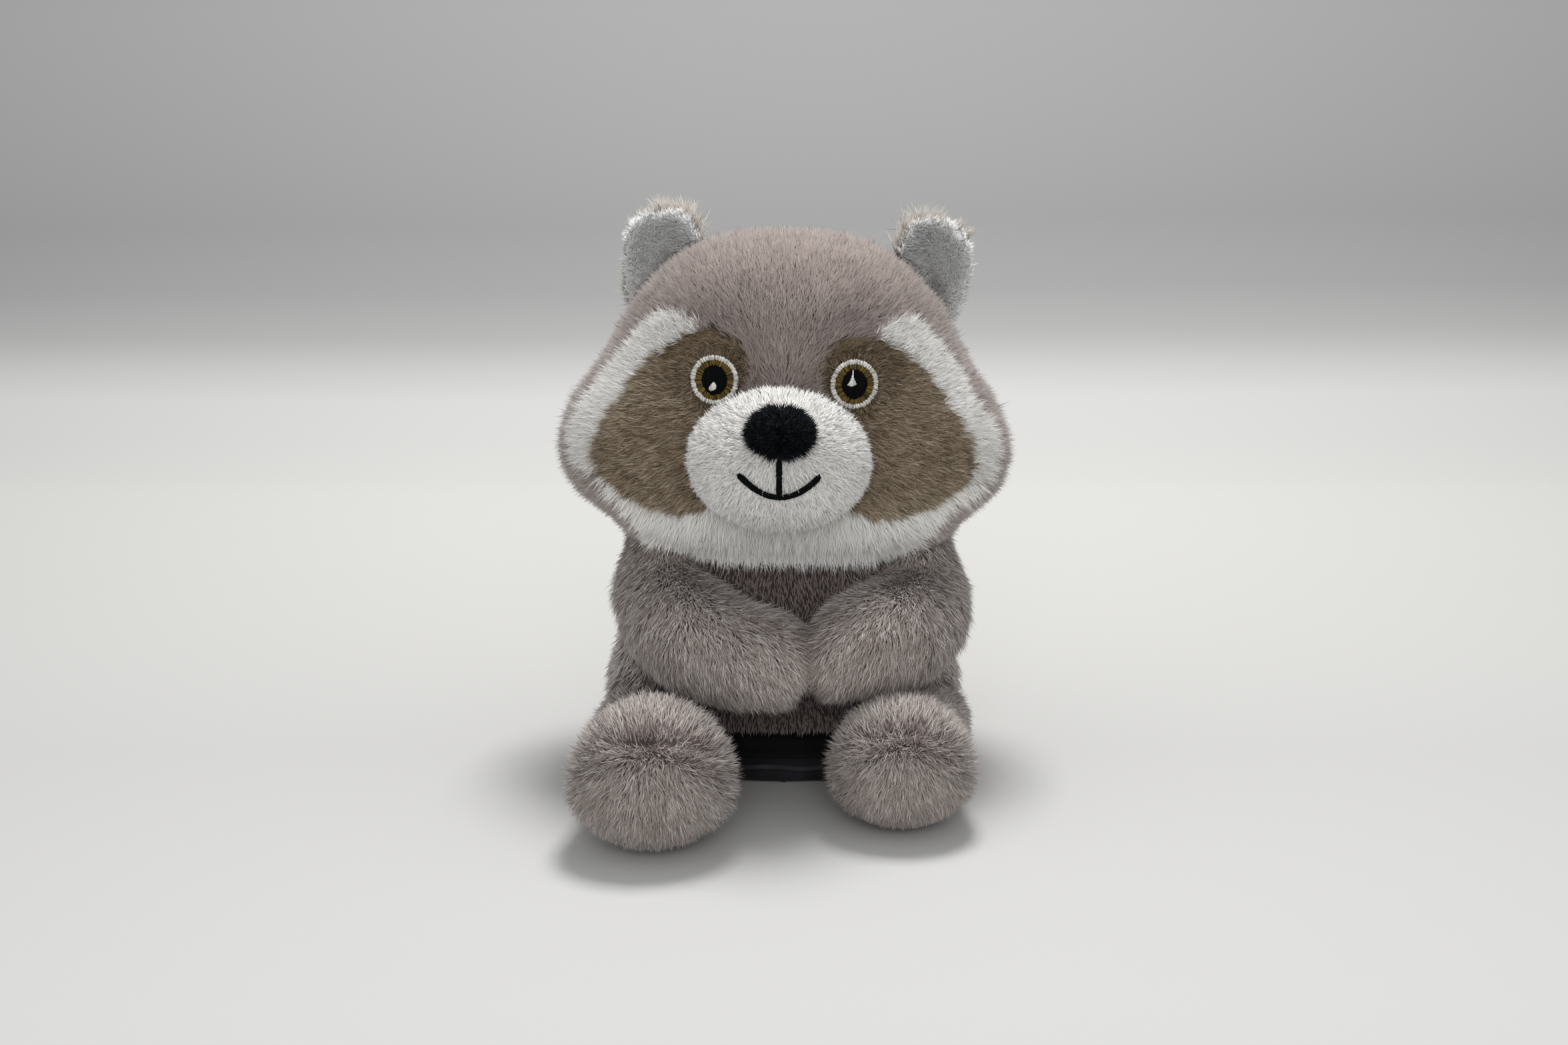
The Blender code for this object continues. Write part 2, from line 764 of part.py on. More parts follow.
def ear(side, sign, width, cup, outset, lean_deg, turn_deg, crease):
    """A cupped ear of two layers, pile cloth behind and smooth short pile in front.

    crease is the share of the cup that folds to a line down the middle instead of rounding.
    """
    half_width, half_height = width / 2, EAR_HEIGHT / 2
    rise = HEAD_HEIGHT - EAR_DROP
    beside = row_at_height(HEAD_ROWS, HEAD_SIZES, rise)[1] + outset
    power = 2 / EAR_SQUARENESS

    def layer(name, inset, offset):
        bm = bmesh.new()
        bmesh.ops.create_uvsphere(bm, u_segments=EAR_FACETS[0], v_segments=EAR_FACETS[1], radius=1)
        bmesh.ops.rotate(bm, matrix=Matrix.Rotation(math.pi / 2, 3, "X"), verts=bm.verts)
        for vertex in bm.verts:
            across, deep, up = vertex.co
            reach = math.hypot(across, up)
            if reach > 1e-6:
                round_ = math.atan2(up, across)
                across = reach * math.copysign(abs(math.cos(round_)) ** power, math.cos(round_))
                up = reach * math.copysign(abs(math.sin(round_)) ** power, math.sin(round_))
            fold = (1 - crease) * across**2 + crease * math.sqrt(across**2 + 0.02)
            hollow = cup * (fold + 0.4 * max(up, 0.0) ** 2)
            vertex.co = (
                MM * (half_width - inset) * across,
                MM * (offset + CLOTH / 2 * deep - hollow),
                MM * (half_height - inset) * up,
            )
        obj = form_of(name, bm, head_turn)
        obj.rotation_euler = (
            math.radians(-6),
            math.radians(sign * lean_deg),
            math.radians(sign * turn_deg),
        )
        obj.location = Vector((sign * beside, EAR_SETBACK, rise)) * MM
        return obj

    head_room = grown(head, GAP)
    back = layer(f"ear back {side} form", 0, CLOTH / 2)
    lining = layer(f"ear lining {side} form", CLOTH / 2, -CLOTH / 2)
    finish(piece_of(back, f"ear_back_{side}", cuts=[head_room]), "grey_pile")
    finish(piece_of(lining, f"ear_lining_{side}", cuts=[head_room, grown(back, GAP)]), "white_short_pile")


# Trunk

TRUNK_SIZES = (TRUNK_HEIGHT, TRUNK_WIDTH / 2, TRUNK_FRONT, TRUNK_BACK)
trunk = stuffed_form("trunk form", TRUNK_ROWS, TRUNK_SIZES, TRUNK_SQUARENESS, TRUNK_FACETS)


def trunk_depth(x, z):
    """The y of the front of the trunk at a place seen from the front."""
    _, side, front, _ = row_at_height(TRUNK_ROWS, TRUNK_SIZES, z)
    near = min(abs(x) / side, 0.999)
    return -front * (1 - near**TRUNK_SQUARENESS) ** (1 / TRUNK_SQUARENESS)


def trunk_and_seat():
    """The pile cover ends over a dark seat, which draws in above a flat base pad on the floor."""
    slope = (SEAT_FRONT_RISE - SEAT_BACK_RISE) / (TRUNK_FRONT + TRUNK_BACK)
    middle = SEAT_BACK_RISE + slope * TRUNK_BACK
    normal = Vector((0, slope, 1)).normalized()
    above = half_of(trunk, "trunk above seat", (0, 0, middle + GAP / 2), normal)
    finish(piece_of(above, "torso", cuts=[grown(head, GAP)]), "grey_pile")

    sizes = (TRUNK_HEIGHT, *(size - SEAT_INSET for size in TRUNK_SIZES[1:]))
    inner = stuffed_form("seat form", TRUNK_ROWS, sizes, TRUNK_SQUARENESS, TRUNK_FACETS)
    below = half_of(inner, "trunk below seam", (0, 0, middle - GAP / 2), -normal)
    seat = half_of(below, "seat over pad", (0, 0, PAD_HEIGHT + GAP), Vector((0, 0, 1)))
    finish(piece_of(seat, "seat"), "dark_cloth")

    pad_sizes = (PAD_HEIGHT, PAD_WIDTH / 2, PAD_FRONT, PAD_BACK)
    pad = stuffed_form("base pad form", PAD_ROWS, pad_sizes, TRUNK_SQUARENESS, PAD_FACETS)
    finish(piece_of(pad, "base_pad"), "dark_cloth")

    # A slightly wavy seam is raised along the pad's upper front edge.
    points = []
    for i in range(19):
        across = (i / 9 - 1) * 0.58
        z = PAD_HEIGHT * 0.86 + PAD_SEAM_WAVE * (math.sin(i * 0.92 + 1.0) - 1) / 2
        _, side, front, _ = row_at_height(PAD_ROWS, pad_sizes, z)
        y = -front * (1 - abs(across) ** TRUNK_SQUARENESS) ** (1 / TRUNK_SQUARENESS)
        points.append((across * side, y, z))
    seam = thread_line("pad seam form", points, PAD_SEAM_THREAD)
    finish(piece_of(seam, "base_pad_seam", cuts=[grown(pad, GAP), grown(seat, GAP)]), "dark_cloth")
    return pad


# Arms and legs


def arms_and_legs(pad):
    """Two folded arms whose paws meet over the belly, and two legs that lie forward on the floor."""
    right_x = -TRUNK_WIDTH / 2 + RIGHT_SHOULDER_INSET
    left_x = TRUNK_WIDTH / 2 - LEFT_SHOULDER_INSET
    right_chest = trunk_depth(0, RIGHT_PAW_HEIGHT)
    left_chest = trunk_depth(0, LEFT_PAW_HEIGHT)
    right_arm = limb_form(
        "arm right form",
        [
            (right_x, -SHOULDER_FORWARD, RIGHT_SHOULDER_HEIGHT),
            (right_x, -ELBOW_FORWARD, RIGHT_SHOULDER_HEIGHT - ELBOW_DROP),
            (-RIGHT_FOREARM_X, right_chest - RIGHT_FOREARM_AHEAD, RIGHT_FOREARM_HEIGHT),
            (PAWS_MEET_X - PAW_PRESS, right_chest - RIGHT_PAW_AHEAD, RIGHT_PAW_HEIGHT),
        ],
        [SHOULDER_THICK, ARM_THICK, ARM_THICK, PAW_THICK],
        ARM_FACETS,
    )
    left_arm = limb_form(
        "arm left form",
        [
            (left_x, -SHOULDER_FORWARD, LEFT_SHOULDER_HEIGHT),
            (left_x + 1.2, -ELBOW_FORWARD, LEFT_SHOULDER_HEIGHT - ELBOW_DROP),
            (LEFT_FOREARM_X, left_chest - LEFT_FOREARM_AHEAD, LEFT_FOREARM_HEIGHT),
            (PAWS_MEET_X + PAW_PRESS, left_chest - LEFT_PAW_AHEAD, LEFT_PAW_HEIGHT),
        ],
        [SHOULDER_THICK, ARM_THICK, ARM_THICK, PAW_THICK],
        ARM_FACETS,
    )
    meet = slab("right of the paws", (-REACH, -REACH, -REACH), (PAWS_MEET_X + GAP / 2, REACH, REACH))
    beyond = slab("left of the paws", (PAWS_MEET_X - GAP / 2, -REACH, -REACH), (REACH, REACH, REACH))
    body = [grown(head, GAP), grown(trunk, GAP)]
    finish(piece_of(right_arm, "arm_right", cuts=[*body, beyond]), "grey_pile")
    finish(piece_of(left_arm, "arm_left", cuts=[*body, meet]), "grey_pile")

    feet = {
        "left": (1, LEFT_FOOT_TOE_IN, -LEFT_FOOT_FORWARD, LEFT_FOOT_WIDTH, LEFT_FOOT_HEIGHT),
        "right": (-1, RIGHT_FOOT_TOE_IN, -RIGHT_FOOT_FORWARD, RIGHT_FOOT_WIDTH, RIGHT_FOOT_HEIGHT),
    }
    hip_x = HIP_SPACING / 2
    floor_room = slab("below the floor", (-REACH, -REACH, -REACH), (REACH, REACH, 0))
    thigh = THIGH_THICK / 2
    for side, (sign, toe_in, y, width, height) in feet.items():
        x = hip_x - toe_in
        form = limb_form(
            f"leg {side} form",
            [
                (sign * hip_x, -HIP_FORWARD, thigh + 4),
                (sign * (hip_x + KNEE_BOW), -KNEE_FORWARD, thigh - 0.4),
                (sign * (x + 4), y + width * 0.55, thigh + 1),
                (sign * x, y, height / 2 - 0.6),
            ],
            [THIGH_THICK - 4, THIGH_THICK, THIGH_THICK + 4, width],
            LEG_FACETS,
            height / width,
        )
        lean = math.radians(SOLE_LEAN_DEG)
        seam = (0, y - width * SOLE_SEAM_SHARE * math.cos(lean), height * 0.68)
        normal = Vector((0, math.cos(lean), math.sin(lean)))
        room = [grown(form, GAP) for form in (trunk, pad, right_arm, left_arm)]
        room.append(floor_room)
        upper = half_of(form, f"leg {side} upper", Vector(seam) + normal * GAP / 2, normal)
        sole = half_of(form, f"leg {side} sole", Vector(seam) - normal * GAP / 2, -normal)
        finish(piece_of(upper, f"leg_{side}", cuts=room), "grey_pile")
        finish(piece_of(sole, f"sole_{side}", cuts=room), "grey_pile")


# Tail


def tail():
    """A plump ringed tail, sewn on low at the back and laid round to the toy's left."""
    radius = TAIL_THICK / 2
    centres = [
        (0.05 * TAIL_REACH, TRUNK_BACK - 0.4 * TAIL_STAND_OFF, radius + TAIL_ROOT_RISE),
        (0.25 * TAIL_REACH, TRUNK_BACK + 0.7 * TAIL_STAND_OFF, radius + 0.6 * TAIL_ROOT_RISE),
        (0.63 * TAIL_REACH, TRUNK_BACK + TAIL_STAND_OFF, radius + 0.2 * TAIL_ROOT_RISE),
        (TAIL_REACH, TRUNK_BACK + 0.2 * TAIL_STAND_OFF, radius - 0.5),
    ]
    form = limb_form(
        "tail form", centres, [TAIL_THICK - 6, TAIL_THICK, TAIL_THICK, TAIL_THICK - 4], TAIL_FACETS
    )
    floor_room = slab("below the tail", (-REACH, -REACH, -REACH), (REACH, REACH, 0))
    stops = [curve_value([Vector(c) for c in centres], i / TAIL_BANDS) for i in range(TAIL_BANDS + 1)]
    for i in range(TAIL_BANDS):
        part = form
        if i > 0:
            along = (Vector(stops[i + 1]) - Vector(stops[i - 1])).normalized()
            part = half_of(part, f"tail {i} start", Vector(stops[i]) + along * GAP / 2, along)
        if i < TAIL_BANDS - 1:
            along = (Vector(stops[i + 2]) - Vector(stops[i])).normalized()
            part = half_of(part, f"tail {i} end", Vector(stops[i + 1]) - along * GAP / 2, -along)
        colour = "brown_pile" if i % 2 else "grey_pile"
        name = f"tail_ring_{i + 1}"
        finish(piece_of(part, name, cuts=[grown(trunk, GAP), floor_room]), colour)


head_panels()
muzzle_nose_and_mouth()
eye("left", 1)
eye("right", -1)
ear("left", 1, LEFT_EAR_WIDTH, LEFT_EAR_CUP, LEFT_EAR_OUTSET, 12, 14, 0.7)
ear("right", -1, RIGHT_EAR_WIDTH, RIGHT_EAR_CUP, RIGHT_EAR_OUTSET, 5, 4, 0.2)
arms_and_legs(trunk_and_seat())
tail()
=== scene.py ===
# A small sitting plush raccoon: pile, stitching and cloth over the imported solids
import math

import bmesh
import bpy
import numpy as np
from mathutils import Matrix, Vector, noise
from mathutils.bvhtree import BVHTree


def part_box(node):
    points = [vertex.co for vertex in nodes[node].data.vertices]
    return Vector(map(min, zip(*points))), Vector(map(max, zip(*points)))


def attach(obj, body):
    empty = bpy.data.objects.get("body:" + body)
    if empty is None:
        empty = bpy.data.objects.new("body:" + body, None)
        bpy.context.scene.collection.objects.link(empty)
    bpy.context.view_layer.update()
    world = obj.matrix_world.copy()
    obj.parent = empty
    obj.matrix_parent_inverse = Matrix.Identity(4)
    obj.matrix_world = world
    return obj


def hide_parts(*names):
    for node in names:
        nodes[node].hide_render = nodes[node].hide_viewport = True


mm = 0.001
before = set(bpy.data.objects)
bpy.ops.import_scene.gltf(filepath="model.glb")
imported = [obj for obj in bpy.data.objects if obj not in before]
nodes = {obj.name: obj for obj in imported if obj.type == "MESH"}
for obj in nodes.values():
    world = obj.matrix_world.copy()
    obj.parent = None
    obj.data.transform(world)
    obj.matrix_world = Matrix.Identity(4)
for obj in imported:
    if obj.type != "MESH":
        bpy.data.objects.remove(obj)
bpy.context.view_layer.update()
print("frame loaded")


# Nodes and colours

def linearColour(code, alpha=1.0):
    code = code.lstrip("#")
    channels = [int(code[i:i + 2], 16) / 255 for i in (0, 2, 4)]
    linear = [c / 12.92 if c <= 0.04045 else ((c + 0.055) / 1.055) ** 2.4 for c in channels]
    return [*linear, alpha]


def addNode(tree, kind, links=None, **settings):
    # links maps an input's name or number to a socket or a plain value
    node = tree.nodes.new(kind)
    for key, value in settings.items():
        setattr(node, key, value)
    for key, value in (links or {}).items():
        if isinstance(value, bpy.types.NodeSocket):
            tree.links.new(value, node.inputs[key])
        else:
            node.inputs[key].default_value = value
    return node


def colourRamp(tree, factor, stops):
    node = addNode(tree, "ShaderNodeValToRGB", {"Fac": factor})
    elements = node.color_ramp.elements
    while len(elements) < len(stops):
        elements.new(0.5)
    for element, (place, code) in zip(elements, stops):
        element.position = place
        element.color = linearColour(code)
    return node.outputs["Color"]


def newMaterial(name):
    material = bpy.data.materials.new(name)
    material.use_nodes = True
    return material, material.node_tree, material.node_tree.nodes["Principled BSDF"]


def toneAndRise(tree):
    # The u of a strand or a thread is its own tone, and a strand's v runs from its root to its tip
    spot = addNode(tree, "ShaderNodeUVMap", uv_map="OFBake")
    parts = addNode(tree, "ShaderNodeSeparateXYZ", {0: spot.outputs["UV"]})
    return parts.outputs["X"], parts.outputs["Y"]


def clothMaterial(name, look):
    # Pile: darker at its roots, and each strand its own tone
    material, tree, shader = newMaterial(name)
    tone, along = toneAndRise(tree)
    root = colourRamp(tree, tone, [(0.0, look["rootDark"]), (1.0, look["rootPale"])])
    tip = colourRamp(tree, tone, [
        (0.0, look["tipDark"]), (0.55, look["tip"]), (1.0, look["tipPale"])])
    rise = addNode(tree, "ShaderNodeMapRange", {
        "Value": along, "From Min": 0.05, "From Max": look.get("tipFull", 0.8)},
        interpolation_type="SMOOTHSTEP")
    mix = addNode(tree, "ShaderNodeMix", {0: rise.outputs[0], 6: root, 7: tip}, data_type="RGBA")
    tree.links.new(mix.outputs[2], shader.inputs["Base Color"])
    shader.inputs["Roughness"].default_value = look.get("roughness", 0.75)
    shader.inputs["Specular IOR Level"].default_value = look.get("specular", 0.25)
    shader.inputs["Sheen Weight"].default_value = look["sheen"]
    shader.inputs["Sheen Roughness"].default_value = 0.4
    # Thin fibres let some of the light through
    through = addNode(tree, "ShaderNodeBsdfTranslucent", {"Color": mix.outputs[2]})
    both = addNode(tree, "ShaderNodeMixShader", {
        0: look.get("through", 0.35), 1: shader.outputs[0], 2: through.outputs[0]})
    tree.links.new(both.outputs[0], tree.nodes["Material Output"].inputs["Surface"])
    return material


pileLooks = {
    # Grey polyester pile with silvery tips over mauve-brown roots
    "greyPile": dict(rootDark="#4C403F", rootPale="#7F7270", tipDark="#978A86", tip="#BEB1A9",
                     tipPale="#F7F2ED", sheen=0.45),
    # The same pile on the head, finer and closer, so less of its roots shows
    "greyHeadPile": dict(rootDark="#5C5150", rootPale="#877A78", tipDark="#938783", tip="#B6A9A2",
                         tipPale="#EFE9E4", sheen=0.45, tipFull=0.6),
    # Brown polyester pile of the face patches, straw-coloured at the tips
    "brownPile": dict(rootDark="#372B20", rootPale="#5E5040", tipDark="#6E5D48", tip="#9D8A71",
                      tipPale="#DDCFB8", sheen=0.3),
    # White long pile
    "whitePile": dict(rootDark="#CFCCC8", rootPale="#EAE8E5", tipDark="#E6E4E0", tip="#F7F5F1",
                      tipPale="#FFFEFC", sheen=0.3),
    # White short pile of the muzzle, painted greyer towards its top as painted shade
    "whiteShortPile": dict(rootDark="#77746F", rootPale="#E6E3DF", tipDark="#97948F",
                           tip="#F3F1ED", tipPale="#FFFEFC", sheen=0.3, through=0.25),
    # The same pile in the ears, so thin that light comes through, with painted shade in the fold
    "whiteThinPile": dict(rootDark="#6E6B67", rootPale="#F0EEEB", tipDark="#8A8783", tip="#FAF9F7",
                          tipPale="#FFFFFE", sheen=0.3, through=0.5),
    # Pale beige pile behind the ears
    "palePile": dict(rootDark="#A89D93", rootPale="#CFC6BD", tipDark="#CFC5BA", tip="#E3DBD2",
                     tipPale="#FBF7F2", sheen=0.5, through=0.5),
    # Black short pile of the nose, bluish in the light
    "blackPile": dict(rootDark="#010102", rootPale="#030304", tipDark="#040506", tip="#090C0F",
                      tipPale="#252E37", sheen=0.0, specular=0.12, roughness=0.7),
}
pileMaterials = {name: clothMaterial(name, look) for name, look in pileLooks.items()}


def threadMaterial(name, tones, roughness=0.45, specular=0.25):
    # Rayon embroidery thread: smooth and a little glossy, each thread its own tone
    material, tree, shader = newMaterial(name)
    colour = colourRamp(tree, toneAndRise(tree)[0], list(zip((0.0, 0.5, 1.0), tones)))
    tree.links.new(colour, shader.inputs["Base Color"])
    shader.inputs["Roughness"].default_value = roughness
    shader.inputs["Specular IOR Level"].default_value = specular
    return material


threadMaterials = {
    "blackThread": threadMaterial("blackThread", ("#020202", "#040506", "#0B0C0F"), 0.7, 0.06),
    "whiteThread": threadMaterial("whiteThread", ("#6A6762", "#AFACA6", "#D8D6D1")),
    "goldThread": threadMaterial("goldThread", ("#191304", "#453714", "#776026"), 0.6, 0.15),
}


# Bodies under the pile

def addObject(name, data):
    piece = bpy.data.objects.new(name, data)
    bpy.context.scene.collection.objects.link(piece)
    return piece


def pieceName(nodeName):
    # crown_panel becomes crownPanel
    first, *others = nodeName.split("_")
    return first + "".join(word.title() for word in others)


def cornersOf(nodeName):
    return [np.array(corner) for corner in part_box(nodeName)]


def middleOf(nodeName):
    low, high = cornersOf(nodeName)
    return (low + high) / 2


def joinedCopy(name, nodeNames):
    bm = bmesh.new()
    for nodeName in nodeNames:
        bm.from_mesh(nodes[nodeName].data)
    bmesh.ops.remove_doubles(bm, verts=bm.verts, dist=1e-6)
    mesh = bpy.data.meshes.new(name)
    bm.to_mesh(mesh)
    bm.free()
    return addObject(name, mesh)


def applied(piece):
    # Swaps a piece's mesh for the result of its modifiers
    bpy.context.view_layer.update()
    graph = bpy.context.evaluated_depsgraph_get()
    mesh = bpy.data.meshes.new_from_object(piece.evaluated_get(graph), depsgraph=graph)
    piece.modifiers.clear()
    piece.data = mesh
    return mesh


def keepLargest(mesh):
    # The remesh also wraps the hollows between cloth and filling, and only the outside is wanted
    bm = bmesh.new()
    bm.from_mesh(mesh)
    bm.verts.ensure_lookup_table()
    seen = [False] * len(bm.verts)
    islands = []
    for start in bm.verts:
        if seen[start.index]:
            continue
        seen[start.index] = True
        island, queue = [], [start]
        while queue:
            vertex = queue.pop()
            island.append(vertex)
            for edge in vertex.link_edges:
                other = edge.other_vert(vertex)
                if not seen[other.index]:
                    seen[other.index] = True
                    queue.append(other)
        islands.append(island)
    islands.sort(key=len)
    spare = [vertex for island in islands[:-1] for vertex in island]
    bmesh.ops.delete(bm, geom=spare, context="VERTS")
    bm.to_mesh(mesh)
    bm.free()


def coordinates(mesh):
    values = np.empty(len(mesh.vertices) * 3, np.float32)
    mesh.vertices.foreach_get("co", values)
    return values.reshape(-1, 3).astype(float)


def setCoordinates(mesh, values):
    mesh.vertices.foreach_set("co", np.ascontiguousarray(values, np.float32).ravel())
    mesh.update()


def vertexNormals(mesh):
    return np.array([v.vector for v in mesh.vertex_normals], float)


def clothOf(piece):
    return coordinates(piece.data), vertexNormals(piece.data)


def outline(nodeNames):
    # A search tree over some solids
    points, faces = [], []
    for nodeName in nodeNames:
        mesh = nodes[nodeName].data
        first = len(points)
        points += [v.co.copy() for v in mesh.vertices]
        faces += [[first + i for i in face.vertices] for face in mesh.polygons]
    return BVHTree.FromPolygons(points, faces)


def distanceTo(nodeNames, places):
    # In metres. With no solids, everywhere is far away
    if not nodeNames:
        return np.ones(len(places))
    tree = outline(nodeNames)
    return np.array([tree.find_nearest(Vector(place))[3] for place in places])


def smoothstep(low, high, values):
    t = np.clip((values - low) / (high - low), 0, 1)
    return t * t * (3 - 2 * t)


def stuffedBody(name, nodeNames, touching=(), voxel=2.0, smooth=6, inset=2.5, lump=0.3,
                lumpSize=14.0):
    # A smooth sewn body inside its solid, with the soft unevenness of the filling, sizes in mm.
    # Where it presses on another part it nearly fills its solid, so the pile hides the join
    piece = joinedCopy(name, nodeNames)
    remesh = piece.modifiers.new("remesh", "REMESH")
    remesh.mode = "VOXEL"
    remesh.voxel_size = voxel * mm
    smoothing = piece.modifiers.new("smooth", "SMOOTH")
    smoothing.iterations = smooth
    mesh = applied(piece)
    keepLargest(mesh)
    places, normals = coordinates(mesh), vertexNormals(mesh)
    bumps = np.array([noise.noise(Vector(p) / (lumpSize * mm)) for p in places])
    near = smoothstep(1.0 * mm, 6 * mm, distanceTo(touching, places))
    depth = bumps * lump - inset * (0.15 + 0.85 * near)
    setCoordinates(mesh, places + normals * depth[:, None] * mm)
    return piece


def insideOf(tree, point):
    place, normal, _, _ = tree.find_nearest(point)
    return (Vector(point) - place).dot(normal) < 0


def pressIn(mesh, share, depth):
    # depth is in mm where share is 1
    places, normals = coordinates(mesh), vertexNormals(mesh)
    setCoordinates(mesh, places - normals * share[:, None] * depth * mm)


def paintedCreaseShade(places, touching, amount=0.3, reach=9.0):
    # Painted shade: the pile is painted darker where two forms press together
    return 0.5 - amount * (1 - smoothstep(1.5 * mm, reach * mm, distanceTo(touching, places)))


def unit(vectors):
    return vectors / np.maximum(np.linalg.norm(vectors, axis=-1, keepdims=True), 1e-9)


def laidAlong(vectors, normals):
    # The same directions laid along the cloth
    return unit(vectors - normals * np.sum(vectors * normals, axis=1, keepdims=True))


# Pile

def makeStrand():
    # A single strand as a kite with a kink, one metre long before it is scaled
    mesh = bpy.data.meshes.new("strand")
    mesh.from_pydata([(0, 0, 0), (0.5, -0.06, 0.42), (-0.5, -0.06, 0.42), (0, -0.28, 0.96)], [],
                     [(0, 2, 1), (1, 2, 3)])
    along = mesh.attributes.new("along", "FLOAT", "POINT")
    along.data.foreach_set("value", [0.0, 0.45, 0.45, 1.0])
    strand = addObject("strand", mesh)
    strand.hide_render = True
    return strand


def newTree(name, inputs):
    tree = bpy.data.node_groups.new(name, "GeometryNodeTree")
    tree.interface.new_socket("Geometry", in_out="INPUT", socket_type="NodeSocketGeometry")
    for title, kind in inputs:
        tree.interface.new_socket(title, in_out="INPUT", socket_type=kind)
    tree.interface.new_socket("Geometry", in_out="OUTPUT", socket_type="NodeSocketGeometry")
    return tree, addNode(tree, "NodeGroupInput").outputs, addNode(tree, "NodeGroupOutput")


def namedValue(tree, name, kind="FLOAT"):
    node = addNode(tree, "GeometryNodeInputNamedAttribute", {"Name": name}, data_type=kind)
    return node.outputs[0]


def maths(tree, operation, a, b=0.0):
    return addNode(tree, "ShaderNodeMath", {0: a, 1: b}, operation=operation).outputs[0]


def vectorMaths(tree, operation, a, b, slot=1):
    return addNode(tree, "ShaderNodeVectorMath", {0: a, slot: b}, operation=operation).outputs[0]


def scaled(tree, vector, factor):
    return vectorMaths(tree, "SCALE", vector, factor, "Scale")


def randomBetween(tree, low, high, seed, step):
    own = maths(tree, "ADD", seed, step)
    return addNode(tree, "FunctionNodeRandomValue", {2: low, 3: high, 8: own}).outputs[1]


def randomVector(tree, seed, step):
    own = maths(tree, "ADD", seed, step)
    return addNode(tree, "FunctionNodeRandomValue", {0: (-1, -1, -1), 1: (1, 1, 1), 8: own},
                   data_type="FLOAT_VECTOR").outputs[0]


def store(tree, geometry, name, value, kind, domain="POINT"):
    node = addNode(tree, "GeometryNodeStoreNamedAttribute", {
        "Geometry": geometry, "Name": name, "Value": value}, data_type=kind, domain=domain)
    return node.outputs[0]


def storeMap(tree, geometry, tone, along):
    pair = addNode(tree, "ShaderNodeCombineXYZ", {0: tone, 1: along}).outputs[0]
    return store(tree, geometry, "OFBake", pair, "FLOAT2", "CORNER")


